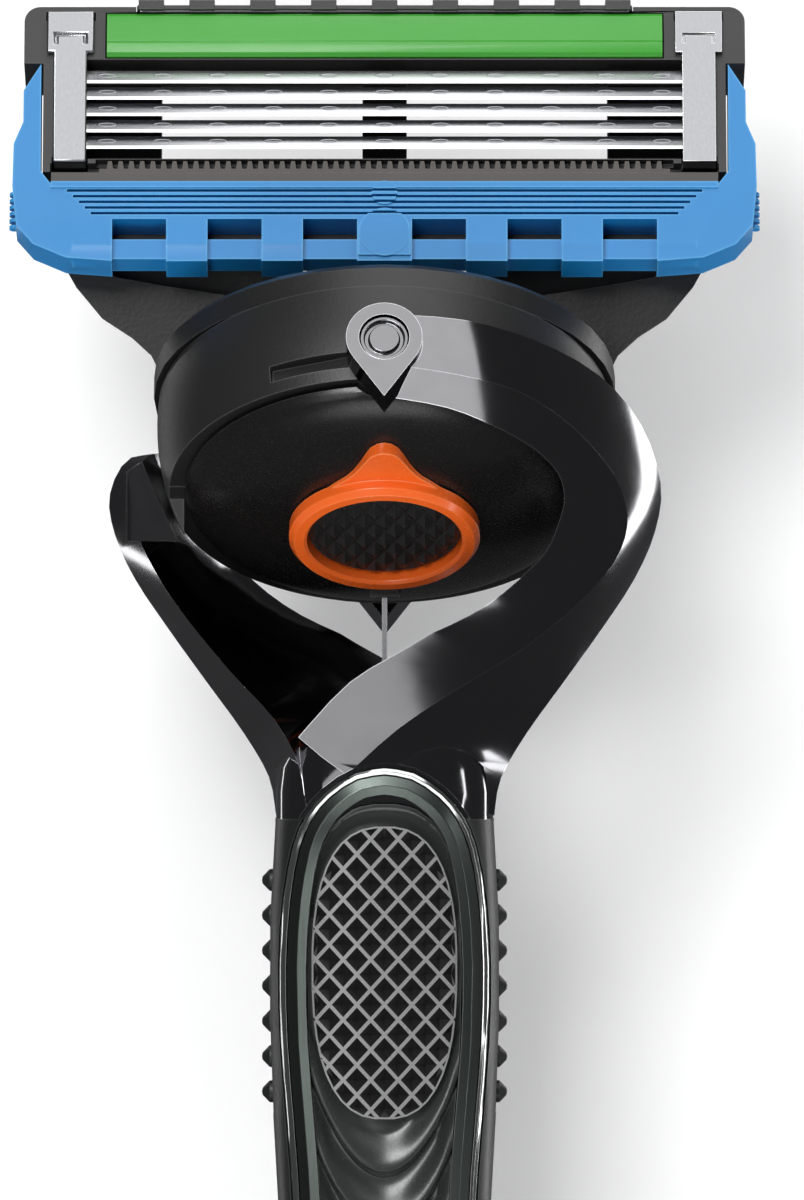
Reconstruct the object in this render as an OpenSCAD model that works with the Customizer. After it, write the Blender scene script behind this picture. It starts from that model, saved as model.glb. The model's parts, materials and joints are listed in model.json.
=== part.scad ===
// Cartridge razor: handle, helical frame, rolling pod, release button and pivoting blade unit.
// Millimetres. +Z runs up the handle, the face looks along -Y, +X is to the right.
// The origin is the grip point, on the handle axis level with the middle of the thumb pad.

/* [Frame and pod] */
// height of the ball centre above the grip point
ball_z = 33; // [31:0.5:36]
// radius of the ball
ball_r = 13.3; // [12.8:0.1:13.4]
// upward lean of the roll axis
roll_lean = 26; // [25:0.5:27]
// backward lean of the docking axis
dock_lean = 31; // [29:0.5:33]
// wall of the pod shells
shell_wall = 1.6; // [1.3:0.1:2]
// clearance between pod and frame arms, as a share of the radius
arm_clear = 1.05; // [1.045:0.005:1.08]
// radius of the front and rear eyes
eye_r = 2.2; // [2.1:0.05:2.5]
// radius of the roll pins
pin_r = 1.4; // [1:0.05:1.5]
// running clearance of pins and plungers
fit = 0.05; // [0.03:0.01:0.08]

/* [Button] */
// outer radius of the orange ring
ring_r = 5.56; // [5.2:0.05:5.9]
// radius of the textured pad
pad_r = 4.4; // [4:0.05:4.8]
// travel of the release button
button_travel = 2.2; // [1.6:0.1:2.4]

/* [Handle] */
// half width at the thumb pad
grip_w = 6.8; // [5.6:0.1:8.2]
// half depth at the thumb pad
grip_h = 6.0; // [5.4:0.1:7.2]
// length of the handle below the grip point
tail = 88; // [72:1:108]
// radius of the steel core rod
core_r = 2.6; // [2.1:0.1:3]
// spacing of the side nubs
nub_pitch = 2.06; // [1.8:0.02:2.2]

/* [Cartridge] */
// width of the blade unit housing
cart_w = 42.3; // [40:0.1:51]
// backward lean of the shaving face
face_lean = 22; // [20:0.5:25]
// height of the face reference above the ball centre
face_z = 16.2; // [16:0.1:17]
// spacing of the blade edges
blade_pitch = 1.05; // [0.98:0.01:1.07]
// thickness of one blade
blade_t = 0.1; // [0.08:0.01:0.14]
// spacing of the comb teeth
tooth_pitch = 0.63; // [0.55:0.01:0.8]
// spacing of the elastomer fins
fin_pitch = 0.36; // [0.32:0.01:0.38]
// radius of the cartridge pivot pins
hinge_r = 0.8; // [0.6:0.05:0.9]

/* [Hidden] */
$fn = 48;
black = [0.09, 0.09, 0.095];
satin = [0.20, 0.22, 0.21];
chrome = [0.26, 0.26, 0.27];
blue = [0.25, 0.64, 0.88];
orange = [0.96, 0.44, 0.16];
green = [0.37, 0.75, 0.31];
steel = [0.78, 0.79, 0.80];
face_y = 0.5;
// centre of the ball and the roll axis below the head reference point
ball_low = 1.2;
roll_z = -3.45;
// cartridge hinge in the face frame: up the face, out of the face
hinge_y = -3.6;
hinge_n = -6.3;
hw = cart_w / 2;
handle_top = 9;
groove = -5.4;
seam = 0.5;
plunger_off = 1.9;
rod_off = -1.4;
tip_arm = 3.0;
// hinge position measured from the ball centre in world axes
hinge_wy = face_y + hinge_y * sin(face_lean) - hinge_n * cos(face_lean);
hinge_wz = face_z + hinge_y * cos(face_lean) + hinge_n * sin(face_lean);
// the same along and across the docking axis
hinge_a = hinge_wy * sin(dock_lean) + hinge_wz * cos(dock_lean);
hinge_b = hinge_wy * cos(dock_lean) - hinge_wz * sin(dock_lean);

// ---- frames of reference ----
module at_ball() translate([0, 0, ball_z]) children();
module roll_frame() at_ball() translate([0, 0, roll_z]) rotate([90 - roll_lean, 0, 0]) children();
module dock_frame() at_ball() rotate([-dock_lean, 0, 0]) children();
module face_frame() translate([0, face_y, ball_z + face_z]) rotate([90 - face_lean, 0, 0]) children();
module both() { children(); mirror([1, 0, 0]) children(); }

// ---- helpers on lists ----
function mix3(a, b, t) = a * (1 - t) + b * t;
function cr(a, b, c, d, t) = 0.5 * (2 * b + (c - a) * t + (2 * a - 5 * b + 4 * c - d) * t * t
    + (3 * b - a - 3 * c + d) * t * t * t);
function at(rows, i) = rows[max(0, min(len(rows) - 1, i))];
function smooth(rows, n) = [for (i = [0 : len(rows) - 2], k = [0 : n - 1])
    cr(at(rows, i - 1), rows[i], rows[i + 1], at(rows, i + 2), k / n), rows[len(rows) - 1]];
// straight-line lookup of one value in rows of [z, value...]
function look(rows, z, k) = lookup(z, [for (r = rows) [r[0], r[k]]]);

// solid from rings of the same number of points
module rings(rows, closed = false, down = false) {
    m = len(rows[0]);
    n = len(rows);
    last = closed ? n : n - 1;
    pts = [for (r = rows, p = r) p];
    sides = [for (i = [0 : last - 1], j = [0 : m - 1])
        let (a = i * m + j, b = i * m + (j + 1) % m, c = ((i + 1) % n) * m + (j + 1) % m, d = ((i + 1) % n) * m + j)
        each [[a, c, b], [a, d, c]]];
    mid0 = len(pts);
    caps = closed ? [] : [
        for (j = [0 : m - 1]) [mid0, j, (j + 1) % m],
        for (j = [0 : m - 1]) [mid0 + 1, (n - 1) * m + (j + 1) % m, (n - 1) * m + j]];
    middle = closed ? [] : [ring_mid(rows[0]), ring_mid(rows[n - 1])];
    faces = concat(sides, caps);
    polyhedron(concat(pts, middle), down ? [for (f = faces) [f[0], f[2], f[1]]] : faces, convexity = 6);
}
function ring_mid(r) = [for (k = [0 : 2]) sum_of([for (p = r) p[k]]) / len(r)];
function sum_of(v, i = 0) = i < len(v) ? v[i] + sum_of(v, i + 1) : 0;

// ---- handle surface ----
// z, half width, front depth, back depth as shares of the grip values
grip_rows = [
    [12, 0.93, 1.00, 0.98], [handle_top, 0.94, 1.00, 0.96], [5, 0.98, 1.01, 0.91], [0, 1.00, 1.00, 0.87],
    [-7, 0.97, 0.97, 0.82], [-14, 0.91, 0.92, 0.79], [-30, 0.88, 0.84, 0.82], [-50, 0.84, 0.80, 0.88],
    [-70, 0.82, 0.81, 0.86], [-(tail - 4), 0.76, 0.76, 0.73]];
function wide(z) = grip_w * look(grip_rows, z, 1);
function front(z) = grip_h * look(grip_rows, z, 2);
function back(z) = grip_h * look(grip_rows, z, 3);
function sgn_pow(v, e) = sign(v) * pow(abs(v), e);
function oval(w, f, b, z, grow, n) = [for (k = [0 : n - 1]) let (t = 360 * k / n, e = 2 / 3)
    [(w + grow) * sgn_pow(cos(t), e), ((sin(t) > 0 ? b : f) + grow) * sgn_pow(sin(t), e), z]];
module grip_loft(z0, z1, grow, n = 36, steps = 16)
    rings([for (i = [0 : steps]) let (z = z0 + (z1 - z0) * i / steps) oval(wide(z), front(z), back(z), z, grow, n)]);
// depth of the front surface at any place
function crown(x, z) = -front(z) * pow(max(0.0, 1 - pow(min(1, abs(x) / wide(z)), 3)), 1 / 3);

// ---- bezel outline: z and half width down the front ----
rim_rows = [
    [12.0, 0.0], [11.7, 1.7], [10.6, 3.4], [9.2, 4.55], [7.4, 5.3], [4.4, 5.85], [0.5, 6.1], [-4, 6.0],
    [-9, 5.6], [-15, 5.2], [-26, 4.9], [-40, 4.4], [-54, 3.6], [-63, 2.5], [-67, 1.4], [-68.5, 0.0]];
function half_loop(rows) = [for (r = rows) [r[1] * grip_w / 6.8, r[0]]];
function full_loop(rows) = let (h = half_loop(rows), n = len(h))
    concat(h, [for (i = [n - 2 : -1 : 1]) [-h[i][0], h[i][1]]]);
function seg_norm(pts, i) = let (n = len(pts), d = pts[(i + 1) % n] - pts[(i + n - 1) % n])
    [-d[1], d[0]] / norm(d);
// loop moved inwards by an amount; the loop runs clockwise seen from the front
function inset_loop(pts, a) = [for (i = [0 : len(pts) - 1]) pts[i] - a * seg_norm(pts, i)];
rim_half = smooth(rim_rows, 2);
rim_loop = full_loop(rim_half);
function on_front(p, out) = [p[0], crown(p[0], p[1]) - out, p[1]];
// strip lying on the front surface between two insets of the rim loop
module front_band(a, b, low, high, swell = 0)
    rings([let (la = inset_loop(rim_loop, a), lb = inset_loop(rim_loop, b), lm = inset_loop(rim_loop, (a + b) / 2))
        for (i = [0 : len(rim_loop) - 1])
            [on_front(la[i], low), on_front(la[i], high), on_front(lm[i], high + swell),
             on_front(lb[i], high), on_front(lb[i], low)]], closed = true);

// ---- handle parts ----
module frame_base() {
    rows = [[-24, 6.35, 6.1], [-22.4, 6.35, 6.1], [-21, 6.2, 6.1], [-19.4, 5.5, 5.8], [-18, 4.3, 4.6], [-17, 3.0, 3.0]];
    at_ball() rings([for (r = rows) oval(r[1] * grip_w / 6.8, r[2] * grip_h / 6, r[2] * grip_h / 6, r[0], 0, 28)]);
}
// one arm: outer edge, ridge, inner edge and hidden back edge at each station, from the ball centre
arm_rows = [
    [[0.2, -13.2, 5.2], [0.2, -15.2, 2.3], [0.2, -14.1, 0.4], [0.2, -12.6, 4.7]],
    [[4.5, -12.5, 4.9], [4.2, -14.8, 1.7], [3.6, -13.7, -0.2], [4.2, -12.0, 4.5]],
    [[8.6, -10.7, 3.8], [7.6, -13.7, 0.8], [6.4, -12.7, -1.3], [8.1, -10.0, 3.5]],
    [[12.4, -7.7, 1.8], [10.3, -12.0, -0.8], [8.7, -11.2, -2.6], [11.6, -7.1, 1.6]],
    [[14.9, -4.2, -1.0], [12.3, -10.0, -2.7], [10.0, -10.0, -3.9], [13.8, -3.8, -1.0]],
    [[16.1, -2.6, -4.4], [13.7, -8.2, -4.7], [10.4, -9.2, -5.3], [14.6, -0.4, -4.6]],
    [[15.8, -1.9, -7.2], [14.1, -7.0, -6.9], [10.1, -8.7, -6.7], [14.5, 1.2, -7.3]],
    [[14.6, -1.6, -10.0], [13.3, -6.7, -9.1], [9.3, -8.3, -8.5], [13.3, 2.1, -9.8]],
    [[12.7, -1.7, -12.9], [11.2, -6.8, -11.5], [7.6, -8.0, -10.1], [11.4, 2.9, -12.5]],
    [[10.4, -2.0, -16.1], [8.0, -7.1, -14.1], [4.8, -7.6, -11.9], [8.9, 3.7, -15.5]],
    [[8.3, -2.3, -19.0], [4.4, -7.3, -16.3], [1.5, -7.3, -13.9], [6.4, 4.4, -18.2]],
    [[6.8, -2.6, -21.6], [0.8, -7.1, -18.7], [-2.0, -7.0, -16.0], [5.0, 4.9, -20.8]],
    [[6.4, -3.0, -23.8], [-2.2, -6.7, -21.4], [-5.0, -6.4, -19.2], [4.6, 5.3, -23.2]]];
arm_r = 13.35;
low = [0, 0, ball_low];
function ball_norm(p) = norm(p + low) / arm_r;
// pulled on to the clearance surface, or only kept outside it
function hug(p) = (p + low) * arm_clear / ball_norm(p) - low;
function keep_out(p, s = 1) = ball_norm(p) < arm_clear * s ? (p + low) * s * arm_clear / ball_norm(p) - low : p;
function arm_ring(q, t) = let (e1 = keep_out(q[0], 1.02), c = keep_out(q[1], 1.08), e2 = keep_out(q[2], 1.02), f = keep_out(q[3]),
    i1 = mix3(e2, f, 0.33), i2 = mix3(e2, f, 0.67), w = max(0, min(1, 7.5 - t)))
    [e1, mix3(e1, c, 0.5) * 1.012, c, mix3(c, e2, 0.5) * 1.004, e2,
     keep_out(mix3(i1, hug(i1), w)), keep_out(mix3(i2, hug(i2), w)), f];
function flat4(r) = [for (p = r, v = p) v];
function unflat(v) = [for (i = [0 : 3]) [v[3 * i], v[3 * i + 1], v[3 * i + 2]]];
arm_steps = 3;
arm_table = smooth([for (r = arm_rows) flat4(r)], arm_steps);
arm_rings = [for (i = [0 : len(arm_table) - 1]) arm_ring(unflat(arm_table[i]), i / arm_steps)];
function ease(t) = let (c = max(0, min(1, t))) c * c * (3 - 2 * c);
// half turn about the leaned axis near the eye, about the upright axis near the handle
function turned(p, s) = let (q = p + low, u = -q[1] * cos(s) + q[2] * sin(s), v = q[1] * sin(s) + q[2] * cos(s))
    [-q[0], u * cos(s) + v * sin(s), -u * sin(s) + v * cos(s)] - low;
module arm(rear = false) at_ball() rings([for (i = [0 : len(arm_rings) - 1]) let (s = roll_lean * (1 - ease(i / arm_steps / 8)))
    [for (p = arm_rings[i]) rear ? turned(p, s) : p]]);
// distances along the roll axis from its origin
roll_mid = (-ball_low - roll_z) * sin(roll_lean);
roll_skin = roll_mid + sqrt(pow(ball_r, 2) - pow((-ball_low - roll_z) * cos(roll_lean), 2));
eye_in = roll_skin + 0.45;
eye_out = 16.7;
module teardrop(r) union() {
    circle(r);
    polygon([[-r * 0.815, -r * 0.58], [0, -r * 1.73], [r * 0.815, -r * 0.58]]);
}
module eye_boss() roll_frame() translate([0, 0, eye_in]) linear_extrude(eye_out - eye_in) teardrop(eye_r);
module eye_bore() roll_frame() translate([0, 0, eye_in - 1]) cylinder(r = pin_r + fit, h = 5);
module rear_side() at_ball() translate(-low) rotate([-roll_lean, 0, 0]) rotate([0, 0, 180]) rotate([roll_lean, 0, 0]) translate(low - [0, 0, ball_z]) children();

module frame() color(chrome) difference() {
    union() {
        arm();
        arm(rear = true);
        frame_base();
        eye_boss();
        rear_side() eye_boss();
        translate([0, 0, -12]) cylinder(r = 1.9, h = ball_z - 24 + 12 + 2);
    }
    eye_bore();
    rear_side() eye_bore();
    // seat for the top of the bezel
    translate([0, -2.9, 0]) rotate([90, 0, 0]) linear_extrude(8) polygon(inset_loop(rim_loop, -0.3));
    // slot for the centring spring
    translate([-0.7, 0.4, ball_z - 20]) cube([1.4, 3.2, 5]);
    // pocket for the stop finger
    translate([-15.1, -2.6, ball_z - 7.8]) cube([3.4, 4.6, 5.0]);
}
module handle_core() color(steel) difference() {
    translate([0, 0.2, -tail + 12]) cylinder(r = core_r, h = tail + handle_top - 12.4);
    translate([0, 0, -12.3]) cylinder(r = 1.95, h = 30);
    translate([-1.2, -8, -tail + 30]) cube([2.4, 20, 3]);
}
module core_pin() color(steel)
    translate([0, 4.2, -tail + 31.5]) rotate([90, 0, 0]) cylinder(r = 0.95, h = 7.1);
strip_z = 0.3;
module grip_shell() color(black) difference() {
    grip_loft(-(tail - 4), handle_top, 0);
    translate([0, -3.0, 0]) rotate([90, 0, 0]) linear_extrude(8) polygon(inset_loop(rim_loop, -0.12));
    translate([0, 0.2, -tail + 11.6]) cylinder(r = core_r + 0.05, h = tail + 20);
    translate([0, 4.8, -tail + 31.5]) rotate([90, 0, 0]) cylinder(r = 1.0, h = 9);
    both() translate([grip_w - 1.25, -1.35, strip_z - 8.5]) cube([4, 2.7, 17]);
    translate([0, 0.0, -(tail - 4) - 1]) cylinder(r = 2.05, h = 7);
}
module side_strip() {
    // a strip flush with the skin of the grip
    intersection() {
        grip_loft(-(tail - 4), handle_top, -0.02);
        translate([grip_w - 1.2, -1.3, strip_z - 8.45]) cube([1.6, 2.6, 16.9]);
    }
    for (k = [-3 : 3]) translate([grip_w - 0.1, 0, strip_z - 1.1 + k * nub_pitch]) rotate([0, 90, 0])
        rotate_extrude() polygon([[0, -0.3], [0.66, -0.3], [0.64, 0.02], [0.52, 0.14], [0.22, 0.43], [0, 0.48]]);
}
module side_strip_right() color(black) side_strip();
module side_strip_left() color(black) mirror([1, 0, 0]) side_strip();
module bezel() color(satin) front_band(0.42, 1.55, -1.0, 0.25, 0.22);
module bezel_rim() color(steel) front_band(0.0, 0.36, -0.6, 0.32, 0.1);

// ---- thumb pad and wave panel sit inside the bezel ----
pad_rows = [[8.6, 0.0], [8.2, 1.6], [7.0, 2.9], [5.0, 3.75], [2.4, 4.15], [-0.4, 4.22], [-3.2, 3.9], [-6.0, 2.9], [-7.7, 1.6], [-8.4, 0.0]];
pad_half = smooth(pad_rows, 2);
pad_loop = full_loop(pad_half);
function panel_base(p, out) = [p[0], -3.25, p[1]];
module pad_plate(loop, out) {
    n = len(loop);
    fracs = [1, 0.98, 0.66, 0.33];
    mid = [0, 0, 0];
    low = [for (i = [0 : n - 1]) [loop[i][0], -3.25, loop[i][1]]];
    tops = [for (f = fracs) [for (i = [0 : n - 1]) let (q = [loop[i][0] * f, loop[i][1] * f], o = f == 1 ? out - 0.12 : out) on_front(q, o)]];
    rows = concat([low], tops);
    m = n;
    pts = concat([for (r = rows, p = r) p], [[0, -3.25, 0], on_front([0, 0], out)]);
    k = len(rows);
    faces = concat(
        [for (i = [0 : k - 2], j = [0 : m - 1]) each [
            [i * m + j, i * m + (j + 1) % m, (i + 1) * m + (j + 1) % m],
            [i * m + j, (i + 1) * m + (j + 1) % m, (i + 1) * m + j]]],
        [for (j = [0 : m - 1]) [k * m, (j + 1) % m, j]],
        [for (j = [0 : m - 1]) [k * m + 1, (k - 1) * m + j, (k - 1) * m + (j + 1) % m]]);
    polyhedron(pts, faces, convexity = 6);
}
module thumb_pad() color(black) difference() {
    pad_plate([for (p = pad_loop) [p[0] * grip_w / 6.8, p[1]]], -0.35);
    // crossed grooves leave a lattice of low diamonds
    for (s = [-1, 1], k = [-3 : 3]) translate([0, -grip_h, k * 2.33]) rotate([0, s * 38, 0])
        translate([-9, 0, -0.25]) cube([18, 0.62, 0.5]);
}
// tray under the pad and the waves
tray_rows = [[9.9, 0.0], [9.7, 1.7], [8.7, 3.1], [7.3, 3.9], [4.4, 4.35], [0.5, 4.5], [-4, 4.4], [-9, 4.0], [-15, 3.6], [-26, 3.3], [-40, 2.8], [-54, 2.0], [-62, 1.0], [-65, 0.0]];
module wave_panel() color(black) difference() {
    union() {
        rings([for (i = [0 : 26]) let (z = -9.3 - 52 * i / 26, w = min(lookup(z, [for (r = tray_rows) [r[0], r[1]]]), i < 1 ? 2.2 : 9) * grip_w / 6.8 - 0.1,
            lift = 0.18 * cos(360 * (z + 11.9) / 3.3))
            [for (x = [-1, -0.6, -0.2, 0.2, 0.6, 1]) [x * w, crown(x * w, z) + 0.75 - lift, z],
             [w, -3.1, z], [0, -3.1, z], [-w, -3.1, z]]], down = true);
    }
}
module end_cap() color(chrome) {
    z0 = -(tail - 4) - 0.1;
    rings([for (k = [0 : 6]) let (t = 12 * k, s = cos(t * 0.78), z = z0 - 3.9 * sin(t) / sin(72))
        oval(wide(z0) * s, front(z0) * s, back(z0) * s, z, 0, 36)], down = true);
    translate([0, 0, z0 - 0.5]) cylinder(r = 2, h = 5.5);
}

// ---- pod ----
module ball(g) at_ball() translate(-low) sphere(ball_r + g, $fn = 72);
module slab(a0, a1, y0, y1) dock_frame() translate([-30, y0, a0]) cube([60, y1 - y0, a1 - a0]);
module pin_boss(r) roll_frame() translate([0, 0, roll_skin - 3.4]) cylinder(r = r, h = 3.2);
module shell_body() difference() {
    ball(0);
    ball(-shell_wall);
    slab(seam, 40, -40, 40);
    slab(-40, groove, -40, 40);
}
module pin_room(r) roll_frame() translate([0, 0, roll_skin - 4.8]) cylinder(r = r, h = 5.5);
module in_dock() rotate([dock_lean, 0, 0]) translate([0, 0, -ball_z]) children();
module pin_hole() roll_frame() translate([0, 0, roll_skin - 6]) cylinder(r = 1.02, h = 12);
module pod_front_shell() color(black) difference() {
    union() {
        intersection() { shell_body(); slab(-20, 20, -40, -0.03); }
        pin_boss(2);
    }
    pin_hole();
    // radial slot beside the eye
    dock_frame() rotate([0, 0, -20]) translate([-2.6, -ball_r - 1, -4.7]) cube([5.0, 2.6, 0.9]);
}
module pod_rear_shell() color(black) difference() {
    union() {
        intersection() { shell_body(); slab(-20, 20, 0.03, 40); }
        rear_side() pin_boss(1.9);
        // stop finger
        intersection() {
            difference() { ball(0); ball(-1.4); }
            translate([-13.6, -1.6, ball_z - 7.4]) cube([1.9, 2.2, 4]);
            slab(-40, 0, 0.03, 40);
        }
    }
    rear_side() pin_hole();
}
module pivot_pin() roll_frame() difference() {
    union() {
        translate([0, 0, roll_skin + 0.2]) cylinder(r = pin_r, h = eye_out - roll_skin - 0.4);
        translate([0, 0, roll_skin - 4.4]) cylinder(r = 1.0, h = 5);
        translate([0, 0, roll_skin - 4.4]) cylinder(r = 1.6, h = 0.9);
    }
    translate([0, 0, eye_out - 0.45]) difference() { cylinder(r = 1.15, h = 2); translate([0, 0, -1]) cylinder(r = 0.88, h = 5); }
}
module pivot_pin_front() color(steel) pivot_pin();
module pivot_pin_rear() color(steel) rear_side() pivot_pin();
nose_x = 6.5;
nose_y = 3.2;
nose_top = 4.6;
module nose_block(g, z0, z1) translate([0, 0, z0]) linear_extrude(z1 - z0)
    union() { square([2 * (nose_x + g) - 2, 2 * (nose_y + g)], center = true); square([2 * (nose_x + g), 2 * (nose_y + g) - 2], center = true);
        for (x = [-1, 1], y = [-1, 1]) translate([x * (nose_x + g - 1), y * (nose_y + g - 1)]) circle(1, $fn = 24); }
module dock_nose() color(black) dock_frame() difference() {
    union() {
        translate([0, 0, seam - 2.0]) cylinder(r = ball_r - shell_wall - 0.85, h = 1.95);
        nose_block(0, seam - 0.1, nose_top);
        translate([0, plunger_off, -4.6]) cylinder(r = 1.85, h = 4);
    }
    translate([0, plunger_off, -4.1]) cylinder(r = 1.2 + fit, h = 20);
    for (x = [-1, 1]) translate([x * 4.2, rod_off, -10]) cylinder(r = 0.75 + fit, h = 30);
    // room for the inner ends of the roll pins
    in_dock() { pin_room(2.05); rear_side() pin_room(2.05); }
}
module plunger() color(steel) dock_frame() union() {
    top = hinge_a + tip_arm * sin(20) - 0.9;
    translate([0, plunger_off, -0.9]) cylinder(r = 1.2, h = top + 0.9 - 0.5);
    translate([0, plunger_off, top - 0.5]) cylinder(r1 = 1.2, r2 = 0.7, h = 0.5);
}
module coil(r, wire, z0, z1, turns, n = 12) {
    steps = turns * n;
    rings([for (i = [0 : steps]) let (t = 360 * i / n, z = z0 + (z1 - z0) * i / steps)
        [for (k = [0 : 5]) let (c = 60 * k, q = r + wire * cos(c)) [q * cos(t), q * sin(t), z + wire * sin(c)]]], down = true);
}
module plunger_spring() color(steel) dock_frame() translate([0, plunger_off, 0]) coil(0.85, 0.16, -3.9, -1.15, 5);

// ---- dome and release button ----
dome_r = 11.6;
dome_h = 2.7;
dome_top = groove - 0.3;
module dome() color(black) dock_frame() difference() {
    rotate_extrude($fn = 96) polygon(concat(
        [for (k = [0 : 12]) let (t = 7.5 * k) [dome_r * cos(t), dome_top - dome_h * sin(t)]],
        [[0, dome_top - dome_h + 1.2]],
        [for (k = [11 : -1 : 0]) let (t = 7.5 * k) [(dome_r - 1.3) * cos(t), dome_top - (dome_h - 1.2) * sin(t)]]));
    translate([0, 0, -20]) cylinder(r = ring_r - 0.35, h = 20);
    // room for the pin boss
    in_dock() pin_boss(2.25);
    // seat of the spring clamp
    in_dock() at_ball() translate([-0.94, 0.46, -12.3]) cube([1.88, 3.08, 2.55]);
}
// the ring stands on the dome and carries a pointer towards the eye
ring_low = dome_top - dome_h - 0.85;
module button_ring() color(orange) dock_frame() difference() {
    union() {
        rotate_extrude($fn = 96) polygon([[pad_r + 0.12, ring_low + 0.15], [pad_r + 0.3, ring_low], [ring_r - 0.3, ring_low],
            [ring_r, ring_low + 0.35], [ring_r, dome_top - dome_h * 0.92], [ring_r - 0.42, dome_top - dome_h * 0.92],
            [ring_r - 0.42, dome_top - 1.0], [pad_r + 0.12, dome_top - 1.0]]);
        difference() {
            translate([0, 0, dome_top - dome_h * 0.99]) linear_extrude(dome_h * 0.4)
                let (flank = [[-3.4, 1.3], [-2.75, 0.55], [-2.2, 0.0], [-1.8, -0.55], [-1.45, -1.2], [-1.1, -1.95], [-0.8, -2.5], [-0.42, -2.8]])
                    polygon([for (p = flank) [p[0], p[1] - ring_r], [0, -ring_r - 2.9], for (k = [len(flank) - 1 : -1 : 0]) [-flank[k][0], flank[k][1] - ring_r]]);
            rotate_extrude($fn = 96) polygon(concat([for (k = [0 : 12]) let (t = 7.5 * k) [(dome_r + 0.05) * cos(t), dome_top - (dome_h + 0.05) * sin(t)]],
                [[0, dome_top]]));
            translate([0, 0, -20]) cylinder(r = ring_r - 0.1, h = 20);
        }
    }
}
module button_pad() color(black) dock_frame() difference() {
    union() {
        translate([0, 0, ring_low + 0.4]) cylinder(r = pad_r, h = 1.5);
        translate([0, rod_off, ring_low + 1.5]) cylinder(r = 1.3, h = bar_low - ring_low - 1.51);
        translate([0, rod_off, ring_low + 1.5]) cylinder(r = 0.46, h = bar_low - ring_low - 0.7);
    }
    // crossed v grooves leave rows of small pyramids
    for (s = [-45, 45], k = [-5 : 5]) rotate([0, 0, s]) translate([k * 0.82, 0, ring_low + 0.4])
        rotate([90, 0, 0]) translate([0, 0, -6]) linear_extrude(12) polygon([[-0.38, -0.01], [0.38, -0.01], [0, 0.36]]);
}
bar_low = -5.9;
module ejector() color(steel) dock_frame() difference() {
    union() {
        translate([-5.2, rod_off - 1.2, bar_low]) cube([10.4, 2.5, 1.1]);
        for (x = [-1, 1]) translate([x * 4.2, rod_off, bar_low + 0.5]) cylinder(r = 0.75, h = nose_top + 0.2 - 0.1 - button_travel - bar_low - 0.5);
    }
    translate([0, rod_off, bar_low - 1]) cylinder(r = 0.5, h = 4);
}
module button_spring() color(steel) dock_frame() translate([0, rod_off, 0]) coil(1.15, 0.15, bar_low + 1.27, seam - 2.17, 2, 16);

// ---- centring leaf between pod and frame ----
module centering_spring() color(steel) at_ball() translate([-0.15, 0.9, -18.6]) cube([0.3, 2.2, 8.4]);
module spring_clamp() color(black) at_ball() difference() {
    translate([-0.9, 0.75, -11.1]) cube([1.8, 2.75, 1.1]);
    translate([-0.2, 0.85, -13]) cube([0.4, 2.3, 3]);
}

// ---- yoke: base on the pod, wings up to the cartridge hinge ----
module yoke_base() dock_frame() rings([for (r = [[seam + 0.15, 13.7, 12.0, 11.6], [2.1, 13.7, 12.0, 11.6], [2.7, 13.2, 11.4, 11.2], [3.6, 11.2, 8.6, 9.6], [4.6, 9.6, 6.0, 7.6], [6.2, 8.2, 4.2, 5.0]])
    oval2(r[1] * ball_r / 13.5, r[2], r[3], r[0], 40)]);
function oval2(w, f, b, z, n) = [for (k = [0 : n - 1]) let (t = 360 * k / n) [w * cos(t), (sin(t) > 0 ? b : f) * sin(t), z]];
module wing() {
    x1 = hw - 2.0;
    // plate seen from the front, thickness along the depth
    at_ball() translate([0, 6.3, 0]) rotate([90, 0, 0]) linear_extrude(3.6)
        polygon([[7.5, 2.2], [13.1, 1.9], [13.7, 3.1], [14.9, 4.2], [16.6, 5.3], [18.1, 7.1], [x1 - 0.15, 8.7], [x1, 9.5],
            [x1, hinge_wz], [x1 - 2.1, hinge_wz], [x1 - 2.3, 8.6], [15.8, 7.7], [13.0, 7.2], [9.0, 6.6], [6.5, 6.4]]);
    // thin web that closes the gap between wing and blade unit
    at_ball() translate([0, 7.3, 0]) rotate([90, 0, 0]) linear_extrude(1.3)
        polygon([[5.0, 4.6], [9.5, 4.4], [13.5, 4.6], [16.2, 6.4], [16.4, 8.3], [14.4, 8.8], [5.0, 8.8]]);
    // round ear and pin of the hinge
    face_frame() translate([x1 - 2.1, hinge_y, hinge_n]) rotate([0, 90, 0]) cylinder(r = 1.45, h = 2.1);
    face_frame() translate([x1 - 4.0, hinge_y, hinge_n]) rotate([0, 90, 0]) cylinder(r = hinge_r, h = 3);
}
module yoke() color(black) difference() {
    union() { yoke_base(); both() wing(); }
    dock_frame() nose_block(0.12, seam - 2, nose_top + 0.2);
    dock_frame() translate([0, plunger_off, 0]) cylinder(r = 1.7, h = 20);
    // room behind the cam of the blade unit
    at_ball() translate([-2.4, hinge_wy - 1.5, hinge_wz - 4.2]) cube([4.8, 12, 12]);
}

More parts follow.
